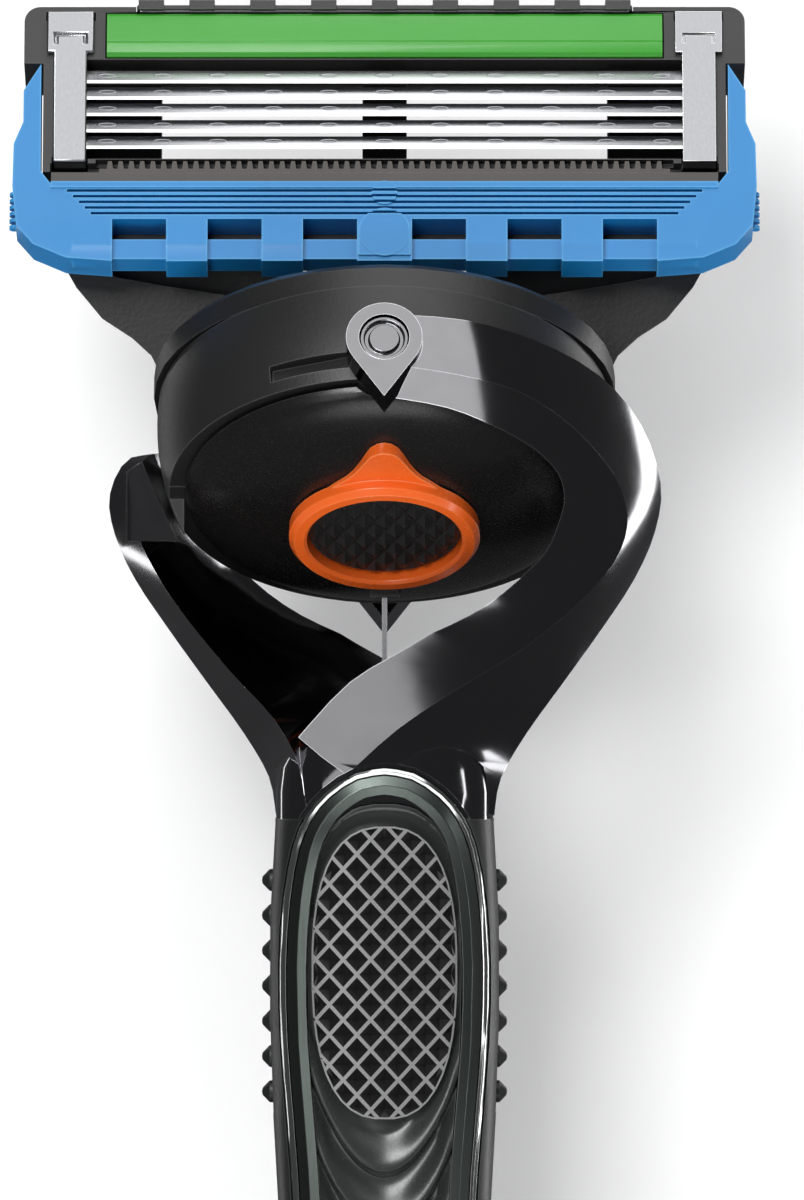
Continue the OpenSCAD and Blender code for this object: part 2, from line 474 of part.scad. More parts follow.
// ---- blade unit, drawn flat: x across, y up the face, z out of the face ----
body_top = 8.0;
body_low = -3.3;
module body_outline() union() {
    translate([-hw + 0.95, 4.35]) square([cart_w - 1.9, body_top - 4.35]);
    translate([-hw, 4.35]) square([cart_w, body_top - 4.35 - 0.95]);
    for (s = [-1, 1]) translate([s * (hw - 0.95), body_top - 0.95]) circle(0.95);
    translate([-hw + 1.15, -2.6]) square([cart_w - 2.3, 7.2]);
    translate([-hw + 1.7, body_low]) square([cart_w - 3.4, 1]);
}
strip_w = hw - 4.85;
blade_w = hw - 3.65;
edge0 = 3.1;
module housing() color(black) face_frame() difference() {
    union() {
        translate([0, 0, -4.6]) linear_extrude(4.6) body_outline();
        // lugs of the hinge
        both() hull_lug();
        // cam pushed by the plunger
        cam();
        // backing behind the slots of the surround
        translate([-16.4, -7.05, -3.2]) cube([32.8, 4.4, 1.06]);
    }
    // well for the blades, with two windows through its floor
    translate([-blade_w - 0.12, -1.75, -1.95]) cube([2 * blade_w + 0.24, 6.35, 5]);
    for (s = [-1, 1]) translate([s * 7.2 - 5.9, -1.1, -9]) cube([11.8, 5.3, 12]);
    // recess of the lubricating strip
    translate([-strip_w - 0.08, 4.68, -1.0]) cube([2 * strip_w + 0.16, 2.92, 3]);
    // recess of the comb
    translate([-hw + 1.6, body_low - 1, -0.9]) cube([cart_w - 3.2, 2.25, 3]);
    translate([-strip_w - 0.6, -2.75, -0.66]) cube([2 * strip_w + 1.2, 0.94, 3]);
    // seat of the trimmer
    translate([-14.6, 7.62, -0.8]) cube([29.2, 2, 2]);
    // slots for the clip legs
    both() translate([-hw + 1.28, 7.1, -3.2]) cube([2.9, 0.55, 4]);
    both() translate([-hw + 1.68, -2.2, -3.2]) cube([2.1, 0.55, 4]);
    // hollow back
    both() translate([-hw + 2.0, 5.0, -5.6]) cube([hw - 5, 2.0, 2.9]);
}
lug_x = hw - 2.0 - 4.0;
module hull_lug() difference() {
    union() {
        translate([lug_x, hinge_y, hinge_n]) rotate([0, 90, 0]) cylinder(r = 1.6, h = 1.7);
        translate([lug_x, hinge_y - 1.15, hinge_n]) cube([1.7, 2.9, -hinge_n - 3.2]);
    }
    translate([lug_x - 1, hinge_y, hinge_n]) rotate([0, 90, 0]) cylinder(r = hinge_r + fit, h = 4);
}
// direction of the cam tip seen from the hinge: behind it and 11 degrees down in world axes
cam_t = -(90 - face_lean) - 90 + 11 + dock_lean - 11 - 20 + 180;
module cam() {
    wy = cos(dock_lean - 20);
    wz = -sin(dock_lean - 20);
    // tip in the face frame
    ty = hinge_y + tip_arm * (wy * sin(face_lean) + wz * cos(face_lean));
    tn = hinge_n + tip_arm * (-wy * cos(face_lean) + wz * sin(face_lean));
    translate([-1.6, 0, 0]) rotate([90, 0, 90]) linear_extrude(3.2) union() {
        polygon([[hinge_y + 1.1, -4.2], [hinge_y + 4.4, -4.2], [ty + 1.0, tn - 0.2], [ty, tn - 0.85], [ty - 0.85, tn], [ty - 0.5, tn + 0.7]]);
        translate([ty, tn]) circle(0.85, $fn = 24);
    }
}
module lubricating_strip() color(green) face_frame() difference() {
    translate([-strip_w, 0, 0]) rotate([90, 0, 90]) linear_extrude(2 * strip_w)
        polygon([[4.75, -0.95], [7.52, -0.95], [7.52, 0.05], [7.3, 0.25], [6.5, 0.36], [5.66, 0.36], [5.6, 0.30], [5.54, 0.34], [4.95, 0.26], [4.75, 0.08]]);
    both() translate([-strip_w - 0.1, 4.6, -1.0]) cube([0.6, 0.5, 0.5]);
}
module trimmer_blade() color(steel) face_frame()
    translate([-14.3, 0, 0]) rotate([90, 0, 90]) linear_extrude(28.6)
        polygon([[7.66, -0.7], [7.9, -0.7], [7.98, 0.12], [7.90, 0.16], [7.66, 0.0]]);
module trimmer_guard() color(black) face_frame() {
    n = 8;
    step = 28.6 / n;
    translate([-14.5, 7.7, 0.2]) cube([29.0, 0.25, 0.16]);
    for (k = [0 : n]) translate([-14.3 + k * step - 0.75 + (k == 0 ? 0.6 : k == n ? -0.6 : 0), 7.64, 0.2]) cube([1.5, 0.62, 0.24]);
    for (s = [-1, 1]) translate([s * 14.45 - 0.1, 7.7, -0.75]) cube([0.2, 0.25, 1.0]);
}
module clip() face_frame() difference() {
    x0 = -hw + 1.35;
    union() {
        translate([x0, 4.92, 0.04]) cube([2.75, 2.62, 0.36]);
        translate([x0 + 0.4, -2.08, 0.04]) cube([1.95, 7.2, 0.36]);
        translate([x0, 7.18, -3.0]) cube([2.75, 0.36, 3.1]);
        translate([x0 + 0.4, -2.08, -3.0]) cube([1.95, 0.36, 3.1]);
    }
    // dark inverted u pressed into the plate
    translate([x0 + 0.42, 5.5, 0.22]) cube([0.18, 0.62, 1]);
    translate([x0 + 2.15, 5.5, 0.22]) cube([0.18, 0.62, 1]);
    translate([x0 + 0.42, 5.98, 0.22]) cube([1.91, 0.16, 1]);
}
module clip_left() color(steel) clip();
module clip_right() color(steel) mirror([1, 0, 0]) clip();
module guard_comb() color([0.29, 0.28, 0.27]) face_frame() {
    x1 = hw - 1.65;
    translate([-x1, body_low - 0.02, -0.85]) cube([2 * x1, 0.68, 0.85 + 0.05]);
    n = floor(2 * strip_w / tooth_pitch);
    translate([0, 0, -0.62]) linear_extrude(0.56) polygon(concat(
        [[strip_w + 0.4, -2.7], [strip_w + 0.4, -2.35]],
        [for (k = [n : -1 : 0]) let (x = (k - n / 2) * tooth_pitch) each [[x + 0.19, -2.35], [x + 0.12, -1.87], [x - 0.12, -1.87], [x - 0.19, -2.35]]],
        [[-strip_w - 0.4, -2.35], [-strip_w - 0.4, -2.7]]));
}
// ---- the five blades on their bent supports ----
tilt = 24;
module blade(k) color(steel) face_frame() translate([0, edge0 - k * blade_pitch, -0.02]) rotate([90 , 0, 90]) translate([0, 0, -blade_w]) difference() {
    linear_extrude(2 * blade_w) rotate(-tilt) polygon([[0, 0], [0.22, 0.035], [1.02, 0.035], [1.02, 0.035 - blade_t], [0.22, 0.035 - blade_t]]);
}
module blade_support(k) color([0.62, 0.63, 0.64]) face_frame() translate([0, edge0 - k * blade_pitch, -0.02]) rotate([90, 0, 90]) translate([0, 0, -blade_w + 0.1])
    linear_extrude(2 * blade_w - 0.2) union() {
        rotate(-tilt) polygon([[0.34, 0.03 - blade_t], [0.98, 0.03 - blade_t], [0.98, -0.12 - blade_t], [0.34, -0.12 - blade_t]]);
        polygon([[0.72, -0.42], [0.86, -0.49], [0.86, -1.55], [0.72, -1.55]]);
    }
module blade_1() blade(0);
module blade_2() blade(1);
module blade_3() blade(2);
module blade_4() blade(3);
module blade_5() blade(4);
module blade_support_1() blade_support(0);
module blade_support_2() blade_support(1);
module blade_support_3() blade_support(2);
module blade_support_4() blade_support(3);
module blade_support_5() blade_support(4);

// ---- elastomer surround with fins and slots ----
module surround_half() polygon([[-hw, 2.5], [-hw + 1.02, 4.2], [-hw + 1.05, -2.65], [-hw + 1.6, -3.4], [0, -3.4], [0, -8.35], [-15.5, -8.4],
    [-18.6, -8.15], [-20.5, -7.3], [-hw - 0.35, -6.1], [-hw - 0.6, -3.6], [-hw - 0.55, -0.9], [-hw, 0.5]]);
module guard_surround() color(blue) face_frame() difference() {
    union() {
        translate([0, 0, -2.1]) linear_extrude(2.35) both() surround_half();
        // upper bar
        translate([-hw + 1.65, -3.75, 0]) cube([cart_w - 3.3, 0.4, 0.38]);
        // lower round edge
        translate([-18.2, -7.3, -0.75]) rotate([0, 90, 0]) cylinder(r = 1.05, h = 36.4);
        // middle disc and small bump
        translate([0, -6.6, -1.0]) cylinder(r = 1.52, h = 1.45);
        translate([-1.52, -8.05, -1.0]) cube([3.04, 1.45, 1.42]);
        translate([0, -4.08, -1.0]) cylinder(r = 0.75, h = 1.4);
        // serrations of the ears
        for (s = [-1, 1], k = [0 : 5]) translate([s * (hw + 0.5), -3.6 - k * 0.42, -0.9]) rotate([90, 0, 0]) cylinder(r = 0.28, h = 0.2);
    }
    // fin grooves between the upper bar and the slots
    for (k = [0 : 4]) translate([-hw + 2.6 + k * 0.35, -3.98 - k * fin_pitch, -0.35]) cube([cart_w - 5.2 - k * 0.7, 0.17, 3]);
    // six slots through the lower band
    slot_mid = 3.18;
    slot_step = 5.57;
    for (s = [-1, 1], k = [0 : 2]) translate([s * (slot_mid + k * slot_step) - 1.58, 0, 0]) {
        translate([0, -6.75, -5]) cube([3.16, 1.05, 10]);
        // the bar below a slot stands back from the band, and ends higher
        translate([0, -9.2, -0.35]) cube([3.16, 2.6, 3]);
        translate([0, -9.2, -5]) cube([3.16, 1.2, 10]);
    }
}

frame();
handle_core();
core_pin();
grip_shell();
side_strip_left();
side_strip_right();
bezel();
bezel_rim();
thumb_pad();
wave_panel();
end_cap();
pod_front_shell();
pod_rear_shell();
pivot_pin_front();
pivot_pin_rear();
dock_nose();
plunger();
plunger_spring();
dome();
button_ring();
button_pad();
ejector();
button_spring();
centering_spring();
spring_clamp();
yoke();
housing();
lubricating_strip();
trimmer_blade();
trimmer_guard();
clip_left();
clip_right();
guard_comb();
guard_surround();
blade_1();
blade_2();
blade_3();
blade_4();
blade_5();
blade_support_1();
blade_support_2();
blade_support_3();
blade_support_4();
blade_support_5();
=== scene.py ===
# %% [markdown]
# # A cartridge razor, dressed over its engineering model
# The engineering model already holds every separate piece of the razor in its true size. It is loaded as a
# fixed frame, and nothing in it is moved. This lesson gives each surface its finish, remodels the pieces
# whose small relief decides how the razor looks (the thumb pad, the wave panel and the button), and adds the
# weld marks of the blades and the bright faces of the ring's eyes.

# %% Load the frame
import json
import math

import bmesh
import bpy
from mathutils import Matrix, Vector


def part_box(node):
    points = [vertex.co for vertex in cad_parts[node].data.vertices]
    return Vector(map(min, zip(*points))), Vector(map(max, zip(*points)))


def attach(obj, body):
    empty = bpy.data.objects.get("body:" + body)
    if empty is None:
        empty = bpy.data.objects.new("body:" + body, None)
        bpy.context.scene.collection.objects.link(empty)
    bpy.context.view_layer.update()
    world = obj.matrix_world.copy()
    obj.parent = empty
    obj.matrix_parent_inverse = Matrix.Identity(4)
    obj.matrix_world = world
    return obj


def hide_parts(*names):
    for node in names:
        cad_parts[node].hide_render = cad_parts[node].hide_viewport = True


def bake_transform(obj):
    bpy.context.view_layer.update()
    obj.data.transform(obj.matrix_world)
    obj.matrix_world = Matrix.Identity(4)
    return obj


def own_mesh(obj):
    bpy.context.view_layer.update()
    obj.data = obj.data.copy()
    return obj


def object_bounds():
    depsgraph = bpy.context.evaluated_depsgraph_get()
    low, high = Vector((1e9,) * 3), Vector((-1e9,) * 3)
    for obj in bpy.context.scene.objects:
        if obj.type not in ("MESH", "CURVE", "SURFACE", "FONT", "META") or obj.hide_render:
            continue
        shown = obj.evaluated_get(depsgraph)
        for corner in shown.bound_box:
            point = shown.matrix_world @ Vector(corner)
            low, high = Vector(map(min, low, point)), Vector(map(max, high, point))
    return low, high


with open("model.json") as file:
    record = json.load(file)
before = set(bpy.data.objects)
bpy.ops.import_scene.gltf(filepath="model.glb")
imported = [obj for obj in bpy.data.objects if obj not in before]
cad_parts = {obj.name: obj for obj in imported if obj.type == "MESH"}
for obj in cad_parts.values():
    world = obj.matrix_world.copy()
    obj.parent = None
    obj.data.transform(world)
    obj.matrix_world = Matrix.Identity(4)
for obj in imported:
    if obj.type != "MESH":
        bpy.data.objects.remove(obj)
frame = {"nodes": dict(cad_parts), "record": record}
CAD_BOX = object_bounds()
MM = 0.001

# %% [markdown]
# ## Camera
# The razor is seen square from the front through a long lens, so near and far pieces keep almost the same
# size. A wide lens close by would make the blade unit swell. A 400 mm lens about 0.8 m away gives the flat,
# catalogue look, and it is aimed a little right of the middle, where the head and the handle balance.

# %% Camera
LENS = 400.0
CAMERA_AT = (1.02 * MM, -0.780, 21.76 * MM)
camera_data = bpy.data.cameras.new("front_camera")
camera_data.lens, camera_data.sensor_width = LENS, 36.0
camera_data.clip_start, camera_data.clip_end = 0.01, 20.0
camera = bpy.data.objects.new("front_camera", camera_data)
camera.location = CAMERA_AT
camera.rotation_euler = (math.radians(90), 0, 0)
bpy.context.scene.collection.objects.link(camera)
bpy.context.scene.camera = camera
print("camera:", LENS, "mm lens at", [round(v, 4) for v in camera.location])

# %% [markdown]
# ## Node building helper
# Every finish below is a node tree. One small helper makes a node, sets its plain values and wires its
# inputs, so that each material reads as a short list of steps and not as pages of link calls.

# %% A short way to add and wire a node


def add_node(tree, kind, inputs=None, **settings):
    """Adds a node; a value in inputs is a constant, or an output socket to wire."""
    node = tree.nodes.new(kind)
    for key, value in settings.items():
        setattr(node, key, value)
    for name, value in (inputs or {}).items():
        socket = node.inputs[name]
        if isinstance(value, bpy.types.NodeSocket):
            tree.links.new(value, socket)
        else:
            socket.default_value = value
    return node


def math_node(tree, operation, a, b=0.0, clamp=False):
    """One step of arithmetic, returned as its output socket."""
    node = add_node(tree, "ShaderNodeMath", {0: a, 1: b}, operation=operation, use_clamp=clamp)
    return node.outputs[0]


def new_group(name, ins, outs):
    """A shader group with float or vector inputs (name, kind, default) and outputs (name, kind)."""
    group = bpy.data.node_groups.new(name, "ShaderNodeTree")
    kinds = {"value": "NodeSocketFloat", "vector": "NodeSocketVector"}
    for label, kind, default in ins:
        socket = group.interface.new_socket(label, in_out="INPUT", socket_type=kinds[kind])
        socket.default_value = default
    for label, kind in outs:
        group.interface.new_socket(label, in_out="OUTPUT", socket_type=kinds[kind])
    return group, group.nodes.new("NodeGroupInput"), group.nodes.new("NodeGroupOutput")


# %% [markdown]
# ## Shared effects
# The same few things happen to every surface: moulded plastic has a fine spark-eroded grain, drawn or ground
# metal has lines along one direction, every clean surface still varies a little in gloss, and edges are painted
# lighter, partly as polish from tools and hands and partly as a painted highlight where they would catch light.
# Each effect is a group, built once and placed in the finishes with its own values. The groups give out only
# numbers.

# %% Group: moulded grain
PEBBLE_SHARE, FINE_SHARE = 0.7, 0.5
grain_group, g_in, g_out = new_group(
    "moulded_grain", [("Size", "value", 0.00018), ("Depth", "value", 1.0)],
    [("Height", "value"), ("Gloss", "value")])
place = add_node(grain_group, "ShaderNodeTexCoord").outputs["Object"]
per_metre = math_node(grain_group, "DIVIDE", 1.0, g_in.outputs["Size"])
pebbles = add_node(grain_group, "ShaderNodeTexVoronoi", {"Vector": place, "Scale": per_metre},
                   feature="SMOOTH_F1")
pebbles.inputs["Smoothness"].default_value = 0.6
fine = add_node(grain_group, "ShaderNodeTexNoise", {"Vector": place, "Scale": per_metre, "Detail": 3.0})
pebble_part = math_node(grain_group, "MULTIPLY", pebbles.outputs["Distance"], PEBBLE_SHARE)
fine_part = math_node(grain_group, "MULTIPLY", fine.outputs[0], FINE_SHARE)
mixed = math_node(grain_group, "ADD", pebble_part, fine_part)
raised = math_node(grain_group, "MULTIPLY", mixed, g_in.outputs["Depth"])
grain_group.links.new(raised, g_out.inputs["Height"])
grain_group.links.new(math_node(grain_group, "SUBTRACT", mixed, 0.5), g_out.inputs["Gloss"])
print("group:", grain_group.name)

# %% Group: lines of drawing or grinding
lines_group, l_in, l_out = new_group(
    "drawn_lines", [("Stretch", "vector", (40.0, 9000.0, 9000.0))],
    [("Height", "value"), ("Tone", "value")])
place = add_node(lines_group, "ShaderNodeTexCoord").outputs["Object"]
pulled = add_node(lines_group, "ShaderNodeVectorMath", {0: place, 1: l_in.outputs["Stretch"]},
                  operation="MULTIPLY")
streaks = add_node(lines_group, "ShaderNodeTexNoise",
                   {"Vector": pulled.outputs[0], "Scale": 1.0, "Detail": 4.0})
streak_value = streaks.outputs[0]
lines_group.links.new(streak_value, l_out.inputs["Height"])
lines_group.links.new(math_node(lines_group, "SUBTRACT", streak_value, 0.5), l_out.inputs["Tone"])
print("group:", lines_group.name)

# %% Group: handling, the slow change of gloss over a clean surface
touch_group, t_in, t_out = new_group("handling", [("Patch", "value", 0.006)], [("Smear", "value")])
place = add_node(touch_group, "ShaderNodeTexCoord").outputs["Object"]
patch = math_node(touch_group, "DIVIDE", 1.0, t_in.outputs["Patch"])
cloud = add_node(touch_group, "ShaderNodeTexNoise",
                 {"Vector": place, "Scale": patch, "Detail": 5.0, "Roughness": 0.6})
touch_group.links.new(math_node(touch_group, "SUBTRACT", cloud.outputs[0], 0.5), t_out.inputs["Smear"])
print("group:", touch_group.name)

# %% Group: edges painted lighter, partly polish and partly a painted highlight
edge_group, e_in, e_out = new_group(
    "polished_edges_and_painted_highlight", [("Width", "value", 0.00012), ("Gain", "value", 6.0)], [("Edge", "value")])
# the edge mask lightens colour the same on every side: part polish, part painted highlight
rounded = add_node(edge_group, "ShaderNodeBevel", {"Radius": e_in.outputs["Width"]}, samples=4)
flat_normal = add_node(edge_group, "ShaderNodeNewGeometry").outputs["Normal"]
agree = add_node(edge_group, "ShaderNodeVectorMath", {0: rounded.outputs[0], 1: flat_normal},
                 operation="DOT_PRODUCT")
turn = math_node(edge_group, "SUBTRACT", 1.0, agree.outputs["Value"], clamp=True)
shine = math_node(edge_group, "MULTIPLY", turn, e_in.outputs["Gain"], clamp=True)
edge_group.links.new(shine, e_out.inputs["Edge"])
print("group:", edge_group.name)

# %% [markdown]
# ## Finishes
# A finish is a Principled surface whose colour, gloss and small relief are fed by the groups. Two makers
# cover the razor: one for everything moulded, one for everything metal. Each colour is given as the eye sees
# it and turned into the linear values that light is computed in.

# %% Colour and mixing helpers
SMOOTHEST = 0.03


def seen(red, green, blue):
    """A colour as it looks on a screen, 0 to 255, as linear RGBA."""
    linear = [c / 255 / 12.92 if c <= 10 else ((c / 255 + 0.055) / 1.055) ** 2.4
              for c in (red, green, blue)]
    return (*linear, 1.0)


def mix_colour(tree, factor, a, b):
    """Mixes two colours by a factor socket."""
    node = add_node(tree, "ShaderNodeMix", data_type="RGBA")
    tree.links.new(factor, node.inputs[0])
    for socket, value in ((node.inputs[6], a), (node.inputs[7], b)):
        if isinstance(value, bpy.types.NodeSocket):
            tree.links.new(value, socket)
        else:
            socket.default_value = value
    return node.outputs[2]


def use_group(tree, group, **inputs):
    """Places a shared group with its own values."""
    node = tree.nodes.new("ShaderNodeGroup")
    node.node_tree = group
    for name, value in inputs.items():
        node.inputs[name].default_value = value
    return node


def new_surface(name):
    """An empty material with one Principled surface wired to its output."""
    material = bpy.data.materials.new(name)
    material.use_nodes = True
    tree = material.node_tree
    tree.nodes.clear()
    surface = tree.nodes.new("ShaderNodeBsdfPrincipled")
    out = tree.nodes.new("ShaderNodeOutputMaterial")
    tree.links.new(surface.outputs[0], out.inputs[0])
    return material, tree, surface


def rough_socket(tree, base, smear, amount, pattern, pattern_amount):
    """Base gloss with slow smears and a finer pattern on top."""
    value = math_node(tree, "ADD", base, math_node(tree, "MULTIPLY", smear, amount))
    value = math_node(tree, "ADD", value, math_node(tree, "MULTIPLY", pattern, pattern_amount))
    return math_node(tree, "MAXIMUM", value, SMOOTHEST)


# %% Maker: moulded plastic, rubber and gel
# how dark the shade is, how quickly it changes, and how much of it is mixed in
SHADE_DARK, SHADE_SPREAD, SHADE_MOST = 0.82, 1.6, 0.35
GRAIN_GLOSS, GRAIN_BUMP, COAT_ROUGH = 0.10, 0.6, 0.12


def moulded(name, colour, edge_colour, gloss, grain=0.00018, relief=0.000006, smear=0.12, edge=0.00010,
            gain=4.0, coat=0.0, specular=0.5):
    """A moulded finish: grain in the relief and gloss, edges painted lighter (polish and a painted highlight),
    slow smears.
    """
    material, tree, surface = new_surface(name)
    grained = use_group(tree, grain_group, Size=grain)
    touched = use_group(tree, touch_group)
    edges = use_group(tree, edge_group, Width=edge, Gain=gain)
    # edges mixed to the lighter edge colour: polish and a painted highlight
    body = mix_colour(tree, edges.outputs["Edge"], colour, edge_colour)
    darker = tuple(c * SHADE_DARK for c in colour[:3]) + (1.0,)
    cloudy = math_node(tree, "MULTIPLY", touched.outputs["Smear"], SHADE_SPREAD)
    shade = math_node(tree, "ADD", 0.5, cloudy, clamp=True)
    toned = mix_colour(tree, math_node(tree, "MULTIPLY", shade, SHADE_MOST), body, darker)
    tree.links.new(toned, surface.inputs["Base Color"])
    rough = rough_socket(tree, gloss, touched.outputs["Smear"], smear, grained.outputs["Gloss"], GRAIN_GLOSS)
    tree.links.new(rough, surface.inputs["Roughness"])
    bump = add_node(tree, "ShaderNodeBump",
                    {"Strength": GRAIN_BUMP, "Distance": relief, "Height": grained.outputs["Height"]})
    tree.links.new(bump.outputs[0], surface.inputs["Normal"])
    surface.inputs["Specular IOR Level"].default_value = specular
    surface.inputs["Coat Weight"].default_value = coat
    surface.inputs["Coat Roughness"].default_value = COAT_ROUGH
    return material


# %% Maker: metal, plated, ground or drawn
# how dark a line is, how much the lines spread, and how far they change gloss and relief
LINE_DARK, LINE_SPREAD, LINE_GLOSS, LINE_BUMP = 0.6, 3.0, 0.4, 0.5


def metal(name, colour, edge_colour, gloss, stretch=(300.0, 9000.0, 9000.0), relief=0.0000012, tone=0.25,
          smear=0.06, edge=0.00008, gain=5.0):
    """A metal finish: lines along one direction, edges painted brighter (polish and a painted highlight), slow
    smears.
    """
    material, tree, surface = new_surface(name)
    surface.inputs["Metallic"].default_value = 1.0
    drawn = use_group(tree, lines_group, Stretch=stretch)
    touched = use_group(tree, touch_group)
    edges = use_group(tree, edge_group, Width=edge, Gain=gain)
    darker = tuple(c * LINE_DARK for c in colour[:3]) + (1.0,)
    spread = math_node(tree, "MULTIPLY", drawn.outputs["Tone"], tone * LINE_SPREAD)
    streak = math_node(tree, "ADD", tone, spread, clamp=True)
    streaked = mix_colour(tree, streak, colour, darker)
    # edges mixed to the brighter edge colour: polish and a painted highlight
    toned = mix_colour(tree, edges.outputs["Edge"], streaked, edge_colour)
    tree.links.new(toned, surface.inputs["Base Color"])
    rough = rough_socket(tree, gloss, touched.outputs["Smear"], smear, drawn.outputs["Tone"],
                         tone * LINE_GLOSS)
    tree.links.new(rough, surface.inputs["Roughness"])
    bump = add_node(tree, "ShaderNodeBump",
                    {"Strength": LINE_BUMP, "Distance": relief, "Height": drawn.outputs["Height"]})
    tree.links.new(bump.outputs[0], surface.inputs["Normal"])
    return material


# %% The razor's finishes
FINISH = {
    "dark_chrome": metal("dark_chrome", seen(118, 118, 120), seen(225, 225, 228), 0.10,
                         stretch=(700.0, 700.0, 700.0), relief=0.0000008, tone=0.10, smear=0.05, gain=3.0),
    "bright_rim": metal("bright_rim", seen(205, 208, 206), seen(240, 240, 240), 0.16,
                        stretch=(3000.0, 3000.0, 200.0)),
    "satin_bezel": metal("satin_bezel", seen(104, 112, 108), seen(196, 202, 198), 0.34,
                         stretch=(9000.0, 9000.0, 260.0), relief=0.000002, tone=0.22),
    "spring_steel": metal("spring_steel", seen(196, 197, 200), seen(240, 240, 242), 0.24),
    "ground_steel": metal("ground_steel", seen(214, 216, 219), seen(252, 252, 255), 0.22,
                          stretch=(90.0, 16000.0, 16000.0), relief=0.000002, tone=0.24),
    "support_steel": metal("support_steel", seen(92, 93, 96), seen(160, 160, 165), 0.34,
                           stretch=(200.0, 12000.0, 12000.0), tone=0.3),
    "clip_aluminium": metal("clip_aluminium", seen(146, 147, 150), seen(255, 255, 255), 0.26,
                            stretch=(9000.0, 9000.0, 160.0), relief=0.0000022, tone=0.12, smear=0.05),
    "grip_rubber": moulded("grip_rubber", seen(30, 31, 31), seen(74, 76, 75), 0.40, grain=0.00022,
                           relief=0.000012),
    "pad_rubber": moulded("pad_rubber", seen(44, 44, 44), seen(128, 128, 128), 0.36, grain=0.00014,
                          relief=0.000008, edge=0.00016, gain=3.0),
    "pit_rubber": moulded("pit_rubber", seen(22, 22, 22), seen(30, 30, 30), 0.42, grain=0.00014,
                          relief=0.000005, edge=0.00005, gain=0.5),
    # the lines' light grey is a painted sheen, standing in for the light their glossy tops catch
    "painted_sheen_line_rubber": moulded("painted_sheen_line_rubber", seen(132, 132, 132), seen(150, 150, 150), 0.26, grain=0.00014,
                           relief=0.000004, edge=0.00005, gain=1.0, specular=0.7),
    "wave_rubber": moulded("wave_rubber", seen(44, 47, 46), seen(104, 108, 106), 0.24, grain=0.00016,
                           relief=0.000002, specular=0.65),
    "button_rubber": moulded("button_rubber", seen(34, 34, 34), seen(84, 84, 84), 0.34, grain=0.00012,
                             relief=0.000004, edge=0.00008, gain=1.5),
    "weld_steel": metal("weld_steel", seen(150, 151, 154), seen(210, 210, 212), 0.34,
                        stretch=(9000.0, 9000.0, 9000.0)),
    "polished_eye": metal("polished_eye", seen(214, 215, 218), seen(250, 250, 252), 0.14,
                          stretch=(1200.0, 1200.0, 1200.0), relief=0.0000008, tone=0.06, smear=0.04),
    "pod_plastic": moulded("pod_plastic", seen(32, 32, 32), seen(92, 92, 92), 0.42, grain=0.00020,
                           relief=0.000011, edge=0.00014),
    "dome_plastic": moulded("dome_plastic", seen(22, 22, 22), seen(70, 70, 70), 0.27, grain=0.00016,
                            relief=0.000004),
    "wing_plastic": moulded("wing_plastic", seen(27, 27, 27), seen(80, 80, 80), 0.40, grain=0.00024,
                            relief=0.000012),
    "frame_plastic": moulded("frame_plastic", seen(34, 33, 33), seen(84, 84, 84), 0.38, grain=0.00016,
                             relief=0.000007),
    "comb_plastic": moulded("comb_plastic", seen(66, 62, 58), seen(112, 108, 102), 0.46, grain=0.00014,
                            relief=0.000006),
    "blue_elastomer": moulded("blue_elastomer", seen(10, 124, 190), seen(84, 172, 224), 0.36, grain=0.00020,
                              relief=0.000005, smear=0.10, edge=0.00022, gain=3.0, coat=0.12),
    "green_gel": moulded("green_gel", seen(52, 152, 38), seen(120, 204, 98), 0.40, grain=0.00012,
                         relief=0.000010, edge=0.00016, gain=2.5, coat=0.15),
    "orange_gloss": moulded("orange_gloss", seen(240, 102, 34), seen(252, 170, 110), 0.24, grain=0.00020,
                            relief=0.000003, edge=0.00018, gain=3.0, coat=0.25),
}
print("finishes:", ", ".join(sorted(FINISH)))

# %% [markdown]
# ## Carried pieces
# Most engineering pieces already have the right shape, and take a finish as they are. Where an edge meets
# the light, though, a real moulding is never knife sharp. Those pieces are copied, their loose triangles are
# joined, and a small bevel rounds every corner that is sharper than a limit. The copy rides on the same body
# and stands for the original, which stays behind for the physics.

# %% Which finish each piece takes
BLADE_NUMBERS = range(1, 6)
NODE_FINISH = {
    "handle_core": "spring_steel", "core_pin": "spring_steel", "dock_nose": "frame_plastic",
    "plunger": "spring_steel", "plunger_spring": "spring_steel", "button_spring": "spring_steel",
    "ejector": "spring_steel", "centering_spring": "spring_steel", "spring_clamp": "frame_plastic",
    "bezel": "satin_bezel", "bezel_rim": "bright_rim", "end_cap": "dark_chrome", "grip_shell": "grip_rubber",
    "side_strip_left": "grip_rubber", "side_strip_right": "grip_rubber", "thumb_pad": "pad_rubber",
    "wave_panel": "pad_rubber", "frame": "dark_chrome", "pod_front_shell": "pod_plastic",
    "pod_rear_shell": "pod_plastic", "dome": "dome_plastic", "button_ring": "orange_gloss",
    "button_pad": "pad_rubber", "pivot_pin_front": "dark_chrome", "pivot_pin_rear": "dark_chrome",
    "yoke": "wing_plastic", "housing": "frame_plastic", "lubricating_strip": "green_gel",
    "trimmer_blade": "ground_steel", "trimmer_guard": "frame_plastic", "clip_left": "clip_aluminium",
    "clip_right": "clip_aluminium", "guard_comb": "comb_plastic", "guard_surround": "blue_elastomer",
}
for number in BLADE_NUMBERS:
    NODE_FINISH[f"blade_{number}"] = "ground_steel"
    NODE_FINISH[f"blade_support_{number}"] = "support_steel"


def dress(thing, finish):
    """Gives an object one finish in every slot."""
    thing.data.materials.clear()
    thing.data.materials.append(FINISH[finish])


for node_name, finish_name in NODE_FINISH.items():
    dress(frame["nodes"][node_name], finish_name)
print("dressed:", len(NODE_FINISH), "of", len(frame["nodes"]), "nodes")

# %% Helpers: turning a bmesh into a piece, and a softened copy of a node
BODY_OF = {node: body for body, nodes in frame["record"]["behaviour"]["bodies"].items() for node in nodes}
CORNER_STEPS, CORNER_ANGLE, FLAT_ANGLE = 3, math.radians(30), math.radians(1)
JOIN_WITHIN = 0.002 * MM


